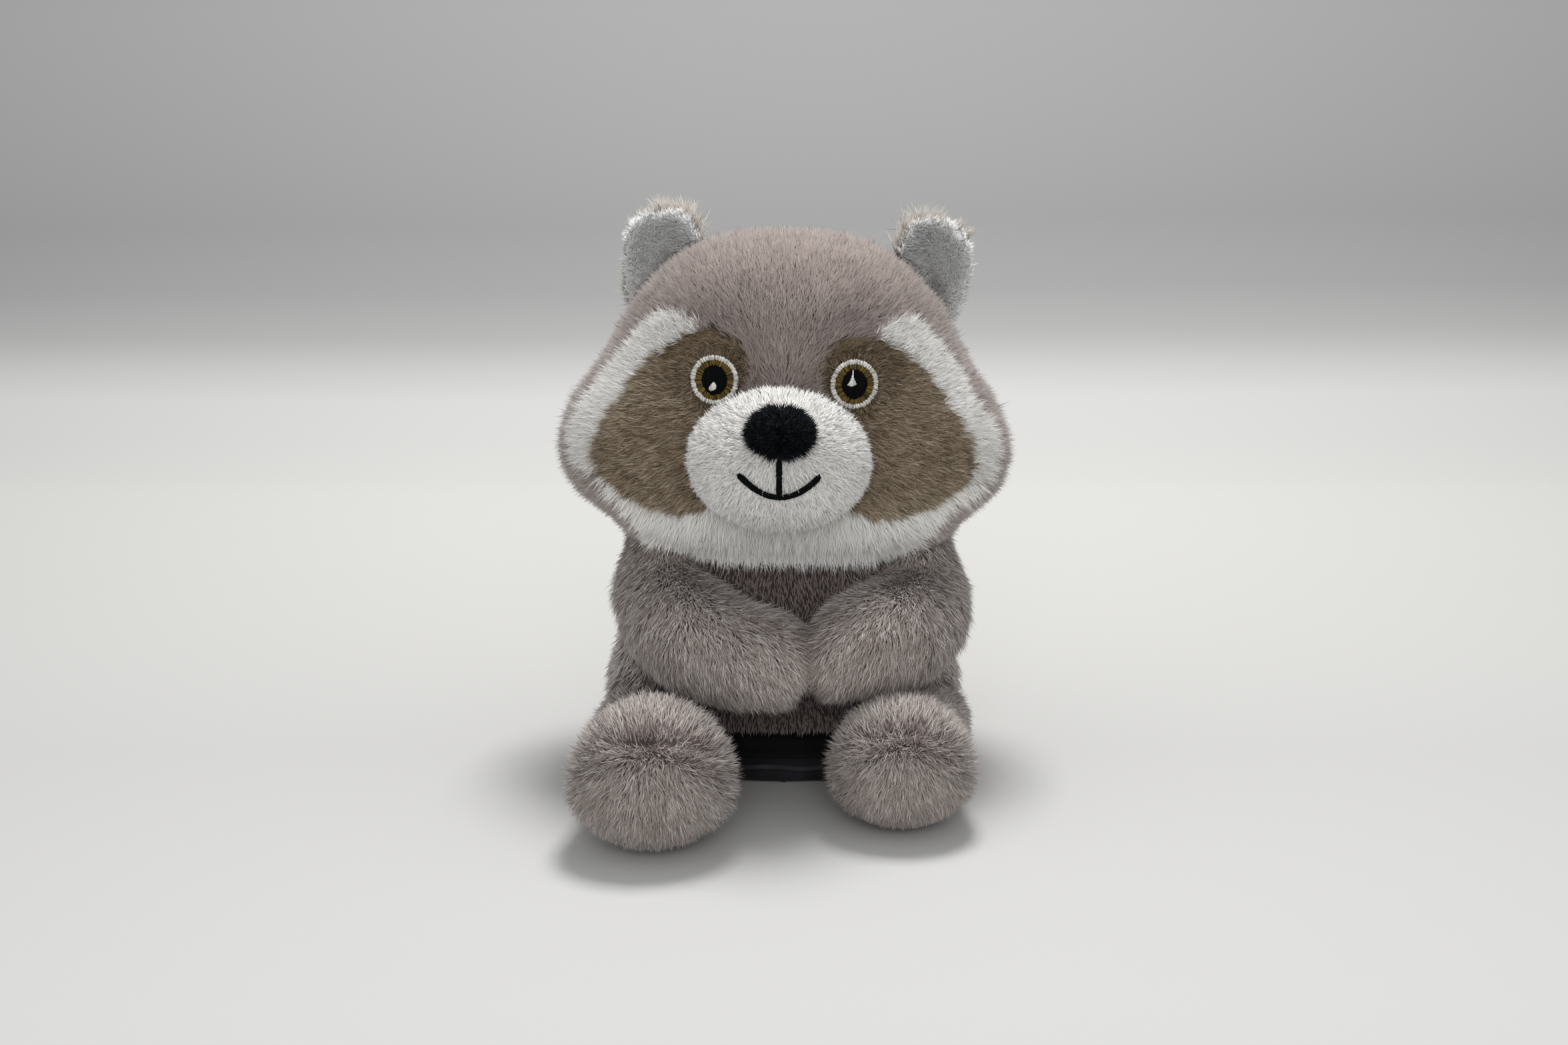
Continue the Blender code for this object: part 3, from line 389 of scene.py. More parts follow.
def makePileTree():
    number, whole = "NodeSocketFloat", "NodeSocketInt"
    tree, given, out = newTree("sewnPile", [
        ("Strand", "NodeSocketObject"), ("Strands Per Square Metre", number), ("Length", number),
        ("Width", number), ("Length Spread", number), ("Direction Spread", number),
        ("Clump", number), ("Clump Size", number), ("Tone Spread", number), ("Sparkle", number),
        ("Lift", "NodeSocketVector"), ("Seed", whole), ("Material", "NodeSocketMaterial")])
    seed = given["Seed"]
    density = maths(tree, "MULTIPLY", given["Strands Per Square Metre"], namedValue(tree, "thick"))
    scatter = addNode(tree, "GeometryNodeDistributePointsOnFaces", {
        "Mesh": given["Geometry"], "Density": density, "Seed": seed})
    normal = scatter.outputs["Normal"]

    # Neighbouring strands lean the same way, so they gather in tufts
    place = addNode(tree, "GeometryNodeInputPosition").outputs[0]
    scale = maths(tree, "DIVIDE", 1.0, given["Clump Size"])
    tuft = addNode(tree, "ShaderNodeTexNoise", {"Vector": place, "Scale": scale, "Detail": 1.5})
    tuftLean = vectorMaths(tree, "SUBTRACT", tuft.outputs["Color"], (0.5, 0.5, 0.5))
    growth = normal
    for lean in (namedValue(tree, "comb", "FLOAT_VECTOR"),
                 scaled(tree, tuftLean, given["Clump"]),
                 scaled(tree, randomVector(tree, seed, 1), given["Direction Spread"])):
        growth = vectorMaths(tree, "ADD", growth, lean)
    roll = scaled(tree, randomVector(tree, seed, 2), 0.5)
    facing = vectorMaths(tree, "ADD", normal, roll)
    turn = addNode(tree, "FunctionNodeAlignRotationToVector", {"Vector": growth}, axis="Z")
    turn = addNode(tree, "FunctionNodeAlignRotationToVector", {
        "Rotation": turn.outputs[0], "Vector": facing}, axis="Y", pivot_axis="Z")

    # Size and tone of each strand
    least = maths(tree, "SUBTRACT", 1.0, given["Length Spread"])
    share = randomBetween(tree, least, 1.0, seed, 3)
    share = maths(tree, "MULTIPLY", share, namedValue(tree, "pile"))
    length = maths(tree, "MULTIPLY", share, given["Length"])
    width = maths(tree, "MULTIPLY", randomBetween(tree, 0.7, 1.3, seed, 4), given["Width"])
    size = addNode(tree, "ShaderNodeCombineXYZ", {0: width, 1: length, 2: length}).outputs[0]
    patch = addNode(tree, "ShaderNodeTexNoise", {
        "Vector": place, "Scale": maths(tree, "MULTIPLY", scale, 0.45), "Detail": 2.0})
    patchTone = maths(tree, "MULTIPLY", maths(tree, "SUBTRACT", patch.outputs[0], 0.5), 0.35)
    ownTone = randomBetween(tree, -1.0, 1.0, seed, 5)
    ownTone = maths(tree, "MULTIPLY", ownTone, given["Tone Spread"])
    tone = maths(tree, "ADD", maths(tree, "ADD", namedValue(tree, "shade"), patchTone), ownTone)
    tone = addNode(tree, "ShaderNodeClamp", {"Value": tone, "Min": 0.01, "Max": 0.99}).outputs[0]
    points = store(tree, scatter.outputs["Points"], "tone", tone, "FLOAT")

    # A strand takes most of its shading from the cloth that it grows on, so the pile looks soft
    ownSide = scaled(tree, randomVector(tree, seed, 6), given["Sparkle"])
    lit = vectorMaths(tree, "ADD", vectorMaths(tree, "ADD", normal, ownSide), given["Lift"])
    points = store(tree, points, "rootNormal", lit, "FLOAT_VECTOR")

    shape = addNode(tree, "GeometryNodeObjectInfo", {"Object": given["Strand"]})
    planted = addNode(tree, "GeometryNodeInstanceOnPoints", {
        "Points": points, "Instance": shape.outputs["Geometry"],
        "Rotation": turn.outputs[0], "Scale": size})
    strands = addNode(tree, "GeometryNodeRealizeInstances", {"Geometry": planted.outputs[0]})
    soft = store(tree, strands.outputs[0], "custom_normal",
                 namedValue(tree, "rootNormal", "FLOAT_VECTOR"), "FLOAT_VECTOR")
    mapped = storeMap(tree, soft, namedValue(tree, "tone"), namedValue(tree, "along"))
    ownNormal = addNode(tree, "GeometryNodeInputNormal").outputs[0]
    body = store(tree, given["Geometry"], "custom_normal", ownNormal, "FLOAT_VECTOR")
    body = storeMap(tree, body, namedValue(tree, "shade"), 0.02)
    joined = addNode(tree, "GeometryNodeJoinGeometry")
    tree.links.new(mapped, joined.inputs[0])
    tree.links.new(body, joined.inputs[0])
    smooth = addNode(tree, "GeometryNodeSetShadeSmooth", {"Geometry": joined.outputs[0]})
    painted = addNode(tree, "GeometryNodeSetMaterial", {
        "Geometry": smooth.outputs[0], "Material": given["Material"]})
    tree.links.new(painted.outputs[0], out.inputs[0])
    return tree


strand = makeStrand()
pileTree = makePileTree()


def runTree(piece, tree, values):
    modifier = piece.modifiers.new(tree.name, "NODES")
    modifier.node_group = tree
    for socket in tree.interface.items_tree:
        if socket.in_out == "INPUT" and socket.name in values:
            modifier[socket.identifier] = values[socket.name]
    return applied(piece)


def writeAttribute(mesh, name, values):
    values = np.asarray(values, np.float32)
    kind, field = ("FLOAT_VECTOR", "vector") if values.ndim == 2 else ("FLOAT", "value")
    attribute = mesh.attributes.new(name, kind, "POINT")
    attribute.data.foreach_set(field, values.ravel())


# What a piece's own sizes leave out. length, width and clumpSize are in mm, the rest are shares
usualPile = dict(lengthSpread=0.35, stray=0.25, clump=0.5, clumpSize=4.0, toneSpread=0.25,
                 sparkle=0.45, lift=(0.0, 0.0, 0.0))
quickShare, quickBroad = ((1.0, 1.0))
floorGap = 0.25  # mm


def growPile(piece, sizes, comb, thick, pile, shade, seed):
    # At each point of the cloth: comb is the lean along it, where 1 is 45 degrees, thick and pile
    # are shares of the strands' number and length, and shade is their tone, from 0 to 1
    mesh, sizes = piece.data, {**usualPile, **sizes}
    # The cloth that faces the front has the closest pile
    thick = thick * (0.75 + 0.5 * smoothstep(-0.3, 0.5, -vertexNormals(mesh)[:, 1]))
    for name, values in (("comb", comb), ("thick", thick), ("pile", pile), ("shade", shade)):
        writeAttribute(mesh, name, values)
    area = sum(face.area * float(np.mean(thick[list(face.vertices)])) for face in mesh.polygons)
    mesh = runTree(piece, pileTree, {
        "Strand": strand, "Strands Per Square Metre": sizes["strands"] / area * quickShare,
        "Length": sizes["length"] * mm, "Length Spread": sizes["lengthSpread"],
        "Width": sizes["width"] * mm * quickBroad, "Direction Spread": sizes["stray"],
        "Clump": sizes["clump"], "Clump Size": sizes["clumpSize"] * mm,
        "Tone Spread": sizes["toneSpread"], "Sparkle": sizes["sparkle"], "Lift": sizes["lift"],
        "Seed": seed, "Material": pileMaterials[sizes["material"]]})
    for name in ("comb", "thick", "pile", "shade", "tone", "along", "rootNormal"):
        if name in mesh.attributes:
            mesh.attributes.remove(mesh.attributes[name])
    # Strands under the toy are pressed flat on the floor
    places = coordinates(mesh)
    places[:, 2] = np.maximum(places[:, 2], floorGap * mm)
    setCoordinates(mesh, places)


def exposed(mesh, neighbours, reach=2.9):
    # 1 where the cloth is free, 0 where it lies against one of the neighbours. reach is in mm
    others = outline(neighbours)
    above = coordinates(mesh) + vertexNormals(mesh) * reach * mm
    return np.array([0.0 if insideOf(others, place) else 1.0 for place in above])


def finishPiece(piece, replaced):
    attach(piece, "root")
    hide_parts(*replaced)
    triangles = sum(len(face.vertices) - 2 for face in piece.data.polygons)
    print(f"{piece.name}: {triangles} triangles")


# Head: one sewn body, cut into its panels along the seams of the solids

maskSizes = dict(slot="brown_pile", material="brownPile", strands=27000, length=6.4, width=0.24,
                 clump=1.9, clumpSize=6.0, stray=0.4, toneSpread=0.5, lengthSpread=0.5)
stripeSizes = dict(slot="white_pile", material="whitePile", strands=13500, length=6.6, width=0.25,
                   clump=1.0, clumpSize=4.5, stray=0.55, lengthSpread=0.6)
headPanels = {
    "crown_panel": dict(slot="grey_pile", material="greyHeadPile", strands=80000, length=6.4,
                        width=0.24, clump=0.6, clumpSize=3.5, stray=0.3, sparkle=0.28,
                        lengthSpread=0.45, toneSpread=0.22),
    "head_back_panel": dict(slot="grey_pile", material="greyHeadPile", strands=17000, length=6.4,
                            width=0.46, stray=0.3, lengthSpread=0.5, toneSpread=0.2),
    "mask_panel_left": maskSizes,
    "mask_panel_right": maskSizes,
    "brow_stripe_left": stripeSizes,
    "brow_stripe_right": stripeSizes,
    "chin_panel": dict(slot="white_pile", material="whitePile", strands=28000, length=8.8,
                       width=0.29, clump=1.5, clumpSize=5.5, stray=0.4, lengthSpread=0.55,
                       lift=(0, -1.1, 0.8)),
}
headNodes = [*headPanels, "head_filling"]
eyeMiddles = {side: middleOf(f"eye_rim_{side}") for side in ("left", "right")}
muzzleLow, muzzleHigh = cornersOf("muzzle")
noseMiddle = middleOf("nose")
# The bridge of the nose
faceMiddle = np.array([(muzzleLow[0] + muzzleHigh[0]) / 2, muzzleLow[1] + 8 * mm,
                       muzzleHigh[2] - 4 * mm])


def headComb(panel, places, normals):
    # The pile fans out from the bridge of the nose, and hangs at the chin and the back
    away = laidAlong(places - faceMiddle, normals)
    down = np.array([[0, 0, -1.0]])
    if panel == "head_back_panel":
        flow = laidAlong(down * 0.7 + away * 0.6, normals) * 0.9
    elif panel == "chin_panel":
        side = np.sign(places[:, :1]) * smoothstep(10 * mm, 50 * mm, np.abs(places[:, :1]))
        flow = laidAlong(down + side * [[0.9, 0, 0.25]], normals) * 1.2
    elif "mask" in panel:
        side = np.sign(places[:, :1] - faceMiddle[0])
        out = side * [[1.0, 0, 0]] + down * 0.22
        flow = laidAlong(away * 0.55 + out * 0.8, normals) * 1.15
    else:
        flow = away * (1.15 - 0.6 * smoothstep(122 * mm, 145 * mm, places[:, 2:3]))
    # Round each eye it lies away from the stitching
    for middle in eyeMiddles.values():
        offset = places - middle
        distance = np.linalg.norm(offset, axis=1, keepdims=True)
        near = 1 - smoothstep(8.5 * mm, 13 * mm, distance)
        flow = flow * (1 - near) + laidAlong(offset, normals) * 1.5 * near
    return flow


def splitSkin(body, owners, nodeName):
    # The faces of a skin that belong to one node, with the index of each vertex in the skin
    bm = bmesh.new()
    bm.from_mesh(body.data)
    index = bm.verts.layers.int.new("first")
    for vertex in bm.verts:
        vertex[index] = vertex.index
    spare = [face for face, owner in zip(bm.faces, owners) if owner != nodeName]
    bmesh.ops.delete(bm, geom=spare, context="FACES")
    first = [vertex[index] for vertex in bm.verts]
    bm.verts.layers.int.remove(index)
    mesh = bpy.data.meshes.new(pieceName(nodeName))
    bm.to_mesh(mesh)
    bm.free()
    return addObject(pieceName(nodeName), mesh), first


def noLead(name, place):
    return 0.0


def growPanels(body, panels, combOf, free, pile, shade, seed, under=(), lead=noLead):
    # Parts a sewn body along its seams and grows each panel's pile. The lead is how much closer a
    # panel counts as being at a place, which moves the root line of its pile off the seam. The
    # first panel's piece also stands for the nodes under it
    trees = {name: outline([name]) for name in panels}
    owners = []
    for face in body.data.polygons:
        distances = {name: tree.find_nearest(face.center)[3] - lead(name, face.center)
                     for name, tree in trees.items()}
        owners.append(min(distances, key=distances.get))
    places, normals = coordinates(body.data), vertexNormals(body.data)
    for step, (name, sizes) in enumerate(panels.items()):
        piece, first = splitSkin(body, owners, name)
        comb = combOf(name, places[first], normals[first])
        growPile(piece, sizes, comb, free[first], pile[first], shade[first], seed + step)
        finishPiece(piece, [name, *(under if step == 0 else ())])
    bpy.data.objects.remove(body)


def headLead(name, place):
    # The pile leans outwards over each seam, so its roots start inside it
    side = abs(place[0] - faceMiddle[0])
    beyondEye = float(smoothstep(17 * mm, 27 * mm, side))
    turned = 1.0 if place[0] < 0 else float(1 - 0.6 * smoothstep(30 * mm, 55 * mm, side))
    if name == "crown_panel":
        return 3.0 * mm * beyondEye * turned
    if "stripe" in name:
        return 1.7 * mm * beyondEye * turned
    return 0.0


def makeHead():
    touching = ["torso", "arm_left", "arm_right"]
    body = stuffedBody("headBody", headNodes, touching, voxel=2.2, smooth=8)
    places = coordinates(body.data)
    free, pile = np.ones(len(places)), np.ones(len(places))
    # The pile is short where the eyes are sewn, and long at the cheeks
    for middle in eyeMiddles.values():
        distance = np.linalg.norm((places - middle)[:, [0, 2]], axis=1)
        pile *= 0.45 + 0.55 * smoothstep(7.5 * mm, 12 * mm, distance)
    height = places[:, 2]
    cheek = smoothstep(50 * mm, 64 * mm, np.abs(places[:, 0]))
    cheek *= smoothstep(82 * mm, 92 * mm, height) * (1 - smoothstep(124 * mm, 138 * mm, height))
    pile *= 1 + 0.55 * cheek
    # Shorter on top, and painted darker there as painted shade
    crown = smoothstep(130 * mm, 150 * mm, height)
    pile *= 1 - 0.15 * crown
    # Painted shade where the head presses on the trunk, the arms and the muzzle
    shade = paintedCreaseShade(places, [*touching, "muzzle"], 0.08, 6.0)
    # Darker between the eyes, where the long pile parts
    bridge = np.linalg.norm((places - faceMiddle) / [14 * mm, 30 * mm, 11 * mm], axis=1)
    shade -= 0.22 * (1 - smoothstep(0.4, 1.5, bridge)) + 0.13 * crown
    # Painted light: paler at the bottom of the head, under the chin, where shade falls
    shade += 0.25 * (1 - smoothstep(72 * mm, 80 * mm, height))
    # The masks are darkest above the eyes and palest at the cheeks
    for middle in eyeMiddles.values():
        above = np.linalg.norm((places - middle - [0, 0, 6 * mm])[:, [0, 2]], axis=1)
        shade -= 0.22 * (1 - smoothstep(9 * mm, 19 * mm, above))
    shade += 0.18 * (1 - smoothstep(84 * mm, 102 * mm, height))
    growPanels(body, headPanels, headComb, free, pile, shade, 11, ["head_filling"], headLead)


makeHead()
print("head done")


# Muzzle and nose

def makeMuzzle():
    sizes = dict(material="whiteShortPile", strands=30000, length=3.6, width=0.23, clump=1.7,
                 clumpSize=2.4, toneSpread=0.12, stray=0.5, sparkle=0.5, lengthSpread=0.5)
    piece = stuffedBody("muzzlePanel", ["muzzle"], voxel=1.6, smooth=4, inset=0.9, lump=0.25,
                        lumpSize=9)
    places, normals = clothOf(piece)
    comb = laidAlong(places - noseMiddle, normals)
    even = np.ones(len(places))
    # Painted light and shade: paler low on the muzzle, greyer towards its top
    shade = 0.95 - 0.47 * smoothstep(muzzleLow[2] + 8 * mm, muzzleHigh[2] - 2 * mm, places[:, 2])
    growPile(piece, sizes, comb, even, even, shade, 31)
    finishPiece(piece, ["muzzle"])


def makeNose():
    sizes = dict(material="blackPile", strands=7500, length=3.8, width=0.26, clump=1.8,
                 clumpSize=2.4, toneSpread=0.5, stray=0.6, sparkle=0.8, lengthSpread=0.6)
    piece = stuffedBody("nosePanel", ["nose"], voxel=0.9, smooth=4, inset=1.1, lumpSize=5)
    # Parted down the middle, so the top shows a small notch
    beside = (coordinates(piece.data)[:, 0] - noseMiddle[0]) / (0.8 * mm)
    pressIn(piece.data, np.exp(-(beside ** 2)), 0.3)
    places, normals = clothOf(piece)
    side = np.sign(places[:, :1] - noseMiddle[0])
    flow = side * [[0.6, 0, 0]] + (places - noseMiddle) / (8 * mm) * [[0.6, 0, 1.0]]
    comb = laidAlong(flow, normals) * 0.7
    even = np.ones(len(places))
    growPile(piece, sizes, comb, even, even, 0.45 * even, 32)
    finishPiece(piece, ["nose"])


makeMuzzle()
makeNose()
print("muzzle and nose done")


# Ears

earSizes = {
    "back": dict(slot="grey_pile", inset=1.6, lean=0.8, material="palePile", strands=8000,
                 length=6.2, width=0.2, clump=1.3, stray=0.6, lengthSpread=0.8, toneSpread=0.4,
                 lift=(0, -0.6, 1.2)),
    "lining": dict(slot="white_short_pile", inset=0.2, lean=0.5, material="whiteThinPile",
                   strands=12000, length=3.0, width=0.25, clump=0.7, clumpSize=2.5,
                   toneSpread=0.08, stray=0.45, lift=(0, -0.3, 2.0)),
}


def makeEar(side, seed):
    sign = 1 if side == "left" else -1
    low, high = cornersOf(f"ear_lining_{side}")
    middle, half = (low + high) / 2, (high - low) / 2
    base = middle.copy()
    base[0] *= 0.72
    base[2] = low[2] + 4 * mm
    for layer, sizes in earSizes.items():
        name = f"ear_{layer}_{side}"
        piece = stuffedBody(pieceName(name), [name], ["crown_panel"], voxel=1.0, smooth=3,
                            inset=sizes["inset"], lump=0.2, lumpSize=8)
        places, normals = clothOf(piece)
        if layer == "lining":
            # The cup is hollow, so the rim rolls over it
            reach = np.linalg.norm(((places - middle) / half)[:, [0, 2]], axis=1)
            inFront = smoothstep(0.2, 0.7, -normals[:, 1])
            pressIn(piece.data, (1 - smoothstep(0.3, 0.85, reach)) * inFront, 1.3)
            places, normals = clothOf(piece)
        comb = laidAlong(places - base, normals) * sizes["lean"]
        pile = np.ones(len(places))
        if layer == "back":
            # Longest at the top on the head's side, and low on the outer side
            across = (places[:, 0] - middle[0]) / half[0] * sign
            rise = (places[:, 2] - middle[2]) / half[2]
            pile *= 0.6 + 0.7 * smoothstep(0.2, 0.9, rise - 0.6 * across)
            pile += 0.4 * smoothstep(0.3, 1.0, across) * smoothstep(0.1, 0.8, -rise)
            comb += laidAlong(np.array([[0, 0.3, 1.0]]), normals) * 0.4
            shade = np.full(len(places), 0.5)
        else:
            # Painted shade, darkest in the fold where the cup meets the head; bright on the rolled
            # rim
            offset = ((places - middle) / half)[:, [0, 2]]
            reach = np.linalg.norm(offset, axis=1)
            cup = 1 - smoothstep(0.45, 0.9, reach)
            near = 1 - smoothstep(2 * mm, 15 * mm, distanceTo(["crown_panel"], places))
            foldShade = np.exp(-(((offset[:, 0] * sign + 0.1 + 0.5 * offset[:, 1]) / 0.34) ** 2))
            foldShade *= 1 - smoothstep(-0.1, 0.7, offset[:, 1])
            foldShade *= 1 - smoothstep(0.75, 0.95, reach)
            shade = 1.0 - 0.06 * cup - 0.15 * near * (0.3 + 0.7 * cup) - 0.4 * foldShade
        free = exposed(piece.data, ["crown_panel", "head_back_panel"], reach=1.4)
        growPile(piece, sizes, comb, free, pile, shade, seed)
        finishPiece(piece, [name])
        seed += 1


makeEar("left", 41)
makeEar("right", 45)
print("ears done")


# Trunk, arms, legs and tail

def limbComb(places, normals, line, downShare, alongShare, strength):
    # Lies along a path of points, in mm, and hangs down a little
    line = np.array(line) * mm
    steps = unit(line[1:] - line[:-1])
    middles = (line[1:] + line[:-1]) / 2
    distance = np.linalg.norm(places[:, None, :] - middles[None], axis=2)
    weight = np.exp(-((distance / (14 * mm)) ** 2)) + 1e-6
    flow = (weight[:, :, None] * steps[None]).sum(1) / weight.sum(1, keepdims=True)
    flow = flow * alongShare + np.array([[0, 0, -downShare]])
    return laidAlong(flow, normals) * strength


def makeTorso():
    sizes = dict(material="greyPile", strands=21000, length=6.4, width=0.42, stray=0.35,
                 lengthSpread=0.5, toneSpread=0.2)
    limbs = ["arm_left", "arm_right", "leg_left", "leg_right"]
    touching = [*limbs, "crown_panel", "chin_panel", "head_back_panel"]
    piece = stuffedBody("torsoPanel", ["torso"], touching, voxel=3.0, smooth=3)
    places, normals = clothOf(piece)
    comb = laidAlong(np.array([[0, 0, -1.0]]), normals) * 1.2
    free = exposed(piece.data, limbs)
    # Painted shade: the chest, deep between the arms and the chin, and the belly under the paws
    side = smoothstep(32 * mm, 44 * mm, np.abs(places[:, 0]))
    front = (1 - smoothstep(-34 * mm, -14 * mm, places[:, 1])) * (1 - side)
    behind = smoothstep(0, 30 * mm, places[:, 1])
    # Painted shade where it presses on the limbs and the head; painted light on the sides by the
    # arms
    shade = paintedCreaseShade(places, touching, 0.2) - 0.8 * front + 0.3 * side + 0.3 * behind
    growPile(piece, sizes, comb, free, 1 - 0.4 * front, np.maximum(shade, -0.15), 51)
    finishPiece(piece, ["torso"])


armSizes = dict(slot="grey_pile", material="greyPile", strands=28000, length=6.2, width=0.27,
                clump=0.8, clumpSize=4.5, stray=0.34, toneSpread=0.38, sparkle=0.5,
                lengthSpread=0.5, lift=(0, 0, 0.3))
# From each shoulder to its paw, in mm
armLines = {
    "arm_left": [(40, -6, 66), (41, -19, 53), (31, -42, 51), (12, -50, 47.5)],
    "arm_right": [(-36, -6, 69), (-36, -19, 56), (-22, -46, 49), (2, -52, 46)],
}


def makeArms():
    panels = {name: armSizes for name in armLines}
    body = stuffedBody("armsBody", list(panels), ["torso", "chin_panel", "crown_panel"], voxel=2.1,
                       smooth=4, inset=1.0)
    # The paws press together, with a shallow furrow between them
    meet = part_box("arm_left")[0][0]
    places = coordinates(body.data)
    edge = 1 - smoothstep(37 * mm, 46 * mm, places[:, 2])
    edge += smoothstep(50 * mm, 60 * mm, places[:, 2])
    furrow = np.exp(-(((places[:, 0] - meet) / (2.3 * mm * (1 + 1.3 * edge))) ** 2))
    pressIn(body.data, furrow * (1 + 1.0 * edge), 2.2)
    places = coordinates(body.data)
    # Close and smooth on the shoulders, longer and silvery on the forearms
    forearm = 1 - smoothstep(62 * mm, 78 * mm, places[:, 2])
    pile = 0.6 + 0.44 * forearm
    free = exposed(body.data, ["torso"])
    # Painted shade where the arms press on the trunk and in the furrow between the paws
    shade = paintedCreaseShade(places, ["torso"], 0.22, 5.0) + 0.04 + 0.08 * forearm - 0.22 * furrow

    def comb(name, places, normals):
        return limbComb(places, normals, armLines[name], 0.9, 0.6, 1.15)

    growPanels(body, panels, comb, free, pile, np.maximum(shade, 0), 53)


legSizes = dict(slot="grey_pile", material="greyPile", strands=15000, length=5.8, width=0.25,
                clump=0.8, clumpSize=4.5, stray=0.3, toneSpread=0.36, sparkle=0.6,
                lengthSpread=0.5)
soleSizes = dict(slot="grey_pile", material="greyPile", strands=17500, length=6.2, width=0.25,
                 clump=0.9, clumpSize=5.0, stray=0.34, toneSpread=0.38, sparkle=0.6,
                 lengthSpread=0.5)


def makeLeg(side, seed):
    leg, sole = f"leg_{side}", f"sole_{side}"
    body = stuffedBody(f"{side}Leg", [leg, sole], ["torso", "seat"], voxel=2.1, smooth=4,
                       inset=1.3)
    places = coordinates(body.data)
    soleLow, soleHigh = cornersOf(sole)
    middle, half = (soleLow[0] + soleHigh[0]) / 2, (soleHigh[0] - soleLow[0]) / 2

    def pastSeam(places):
        return distanceTo([leg], places) - distanceTo([sole], places)

    # The crease runs along the sole's seam, over the top of the foot
    over = 1 - smoothstep(6 * mm, 12 * mm, np.abs(places[:, 0] - middle))
    over *= smoothstep(soleHigh[2] - 12 * mm, soleHigh[2] - 4 * mm, places[:, 2])
    crease = np.exp(-((pastSeam(places) / (1.6 * mm)) ** 2)) * over
    top = places[np.argmax(crease)].copy()
    pressIn(body.data, crease, 0.9)
    places = coordinates(body.data)

    def comb(name, places, normals):
        # Down the sole below the crease, and up and back above it, spreading to both sides
        out = ((places[:, :1] - middle) / half) * [[1.0, 0, 0]]
        if name == sole:
            flow = out * 0.7 + [[0, 0, -1.0]]
        else:
            back = smoothstep(top[1], top[1] + 22 * mm, places[:, 1:2])
            flow = out * 0.6 + [[0, 0.7, 0]] + (1 - 1.4 * back) * [[0, 0, 1.0]]
        # It stands up along the seam, least over the top
        beyond = smoothstep(0, 9 * mm, np.abs(pastSeam(places))[:, None])
        opened = (1 - smoothstep(6 * mm, 11 * mm, np.abs(places[:, :1] - middle))) * 0.26
        return laidAlong(flow, normals) * (0.1 + opened + (0.95 - opened) * beyond)

    free = exposed(body.data, ["torso", "seat", "base_pad"])
    # Painted shade where the legs press on the trunk and the arms, and in the crease, in broken
    # stretches
    broken = np.array([noise.noise(Vector((x / (4 * mm), seed, y / (9 * mm))))
                       for x, y, _ in places])
    shade = paintedCreaseShade(places, ["torso", "arm_left", "arm_right"], 0.2, 6.0) + 0.06
    shade -= 0.55 * crease * smoothstep(-0.05, 0.2, broken)
    # Short where it is pressed to the floor
    pile = 1 - 0.45 * (1 - smoothstep(3 * mm, 15 * mm, places[:, 2]))
    panels = {leg: legSizes, sole: soleSizes}
    growPanels(body, panels, comb, free, pile, np.maximum(shade, 0), seed)


ringCount = 5
ringSizes = dict(strands=3000, length=6.2, width=0.38, stray=0.3, toneSpread=0.2)


def makeTail():
    panels = {}
    for ring in range(1, ringCount + 1):
        colour = "brown" if ring % 2 == 0 else "grey"
        panels[f"tail_ring_{ring}"] = dict(slot=f"{colour}_pile", material=f"{colour}Pile",
                                           **ringSizes)
    body = stuffedBody("tailBody", list(panels), ["torso"], voxel=1.8, smooth=4)
    line = [middleOf(name) / mm for name in panels]

    def comb(name, places, normals):
        return limbComb(places, normals, line, 0.1, 1.0, 0.9)

    even = np.ones(len(body.data.vertices))
    growPanels(body, panels, comb, exposed(body.data, ["torso"]), even, 0.5 * even, 61)


makeTorso()
makeArms()
makeLeg("left", 57)
makeLeg("right", 59)
makeTail()
print("trunk and limbs done")


# Seat and base pad of smooth dark cloth

def darkClothMaterial(name, dark, pale):
    # Charcoal knitted polyester: matt, with loops about 0.6 mm across that only show close up
    material, tree, shader = newMaterial(name)
    place = addNode(tree, "ShaderNodeTexCoord").outputs["Object"]
    knit = addNode(tree, "ShaderNodeTexVoronoi", {"Vector": place, "Scale": 1600.0})
    mottle = addNode(tree, "ShaderNodeTexNoise", {"Vector": place, "Scale": 120.0, "Detail": 3.0})
    colour = colourRamp(tree, mottle.outputs[0], [(0.3, dark), (0.7, pale)])
    bump = addNode(tree, "ShaderNodeBump", {"Height": knit.outputs["Distance"], "Strength": 0.35,
                                           "Distance": 0.15 * mm})
    tree.links.new(colour, shader.inputs["Base Color"])
    tree.links.new(bump.outputs[0], shader.inputs["Normal"])
    shader.inputs["Roughness"].default_value = 0.85
    shader.inputs["Specular IOR Level"].default_value = 0.12
    shader.inputs["Sheen Weight"].default_value = 0.05
    return material


# fill marks a stuffed cloth. The seam isn't stuffed
baseLooks = {
    "seat": dict(piece="seatPanel", cloth="blackKnit", dark="#09090A", pale="#111112", fill=0.7),
    "base_pad": dict(piece="basePad", cloth="charcoalKnit", dark="#19181A", pale="#2A282B",
                     fill=0.7),
    "base_pad_seam": dict(piece="basePadSeam", cloth="seamKnit", dark="#242226", pale="#3D3A3F",
                          fill=None),
}


def makeBase():
    for nodeName, look in baseLooks.items():
        if look["fill"]:
            piece = stuffedBody(look["piece"], [nodeName], voxel=2.2, smooth=2, inset=0.0,
                                lumpSize=9)
            # No lump goes into the floor
            places = coordinates(piece.data)
            places[:, 2] = np.maximum(places[:, 2], 0.0)
            setCoordinates(piece.data, places)
        else:
            piece = joinedCopy(look["piece"], [nodeName])
        piece.data.shade_smooth()
        piece.data.materials.clear()
        piece.data.materials.append(darkClothMaterial(look["cloth"], look["dark"], look["pale"]))
        finishPiece(piece, [nodeName])


makeBase()
print("base done")


# Embroidery: satin stitches on a smooth face fitted to the front of the solids

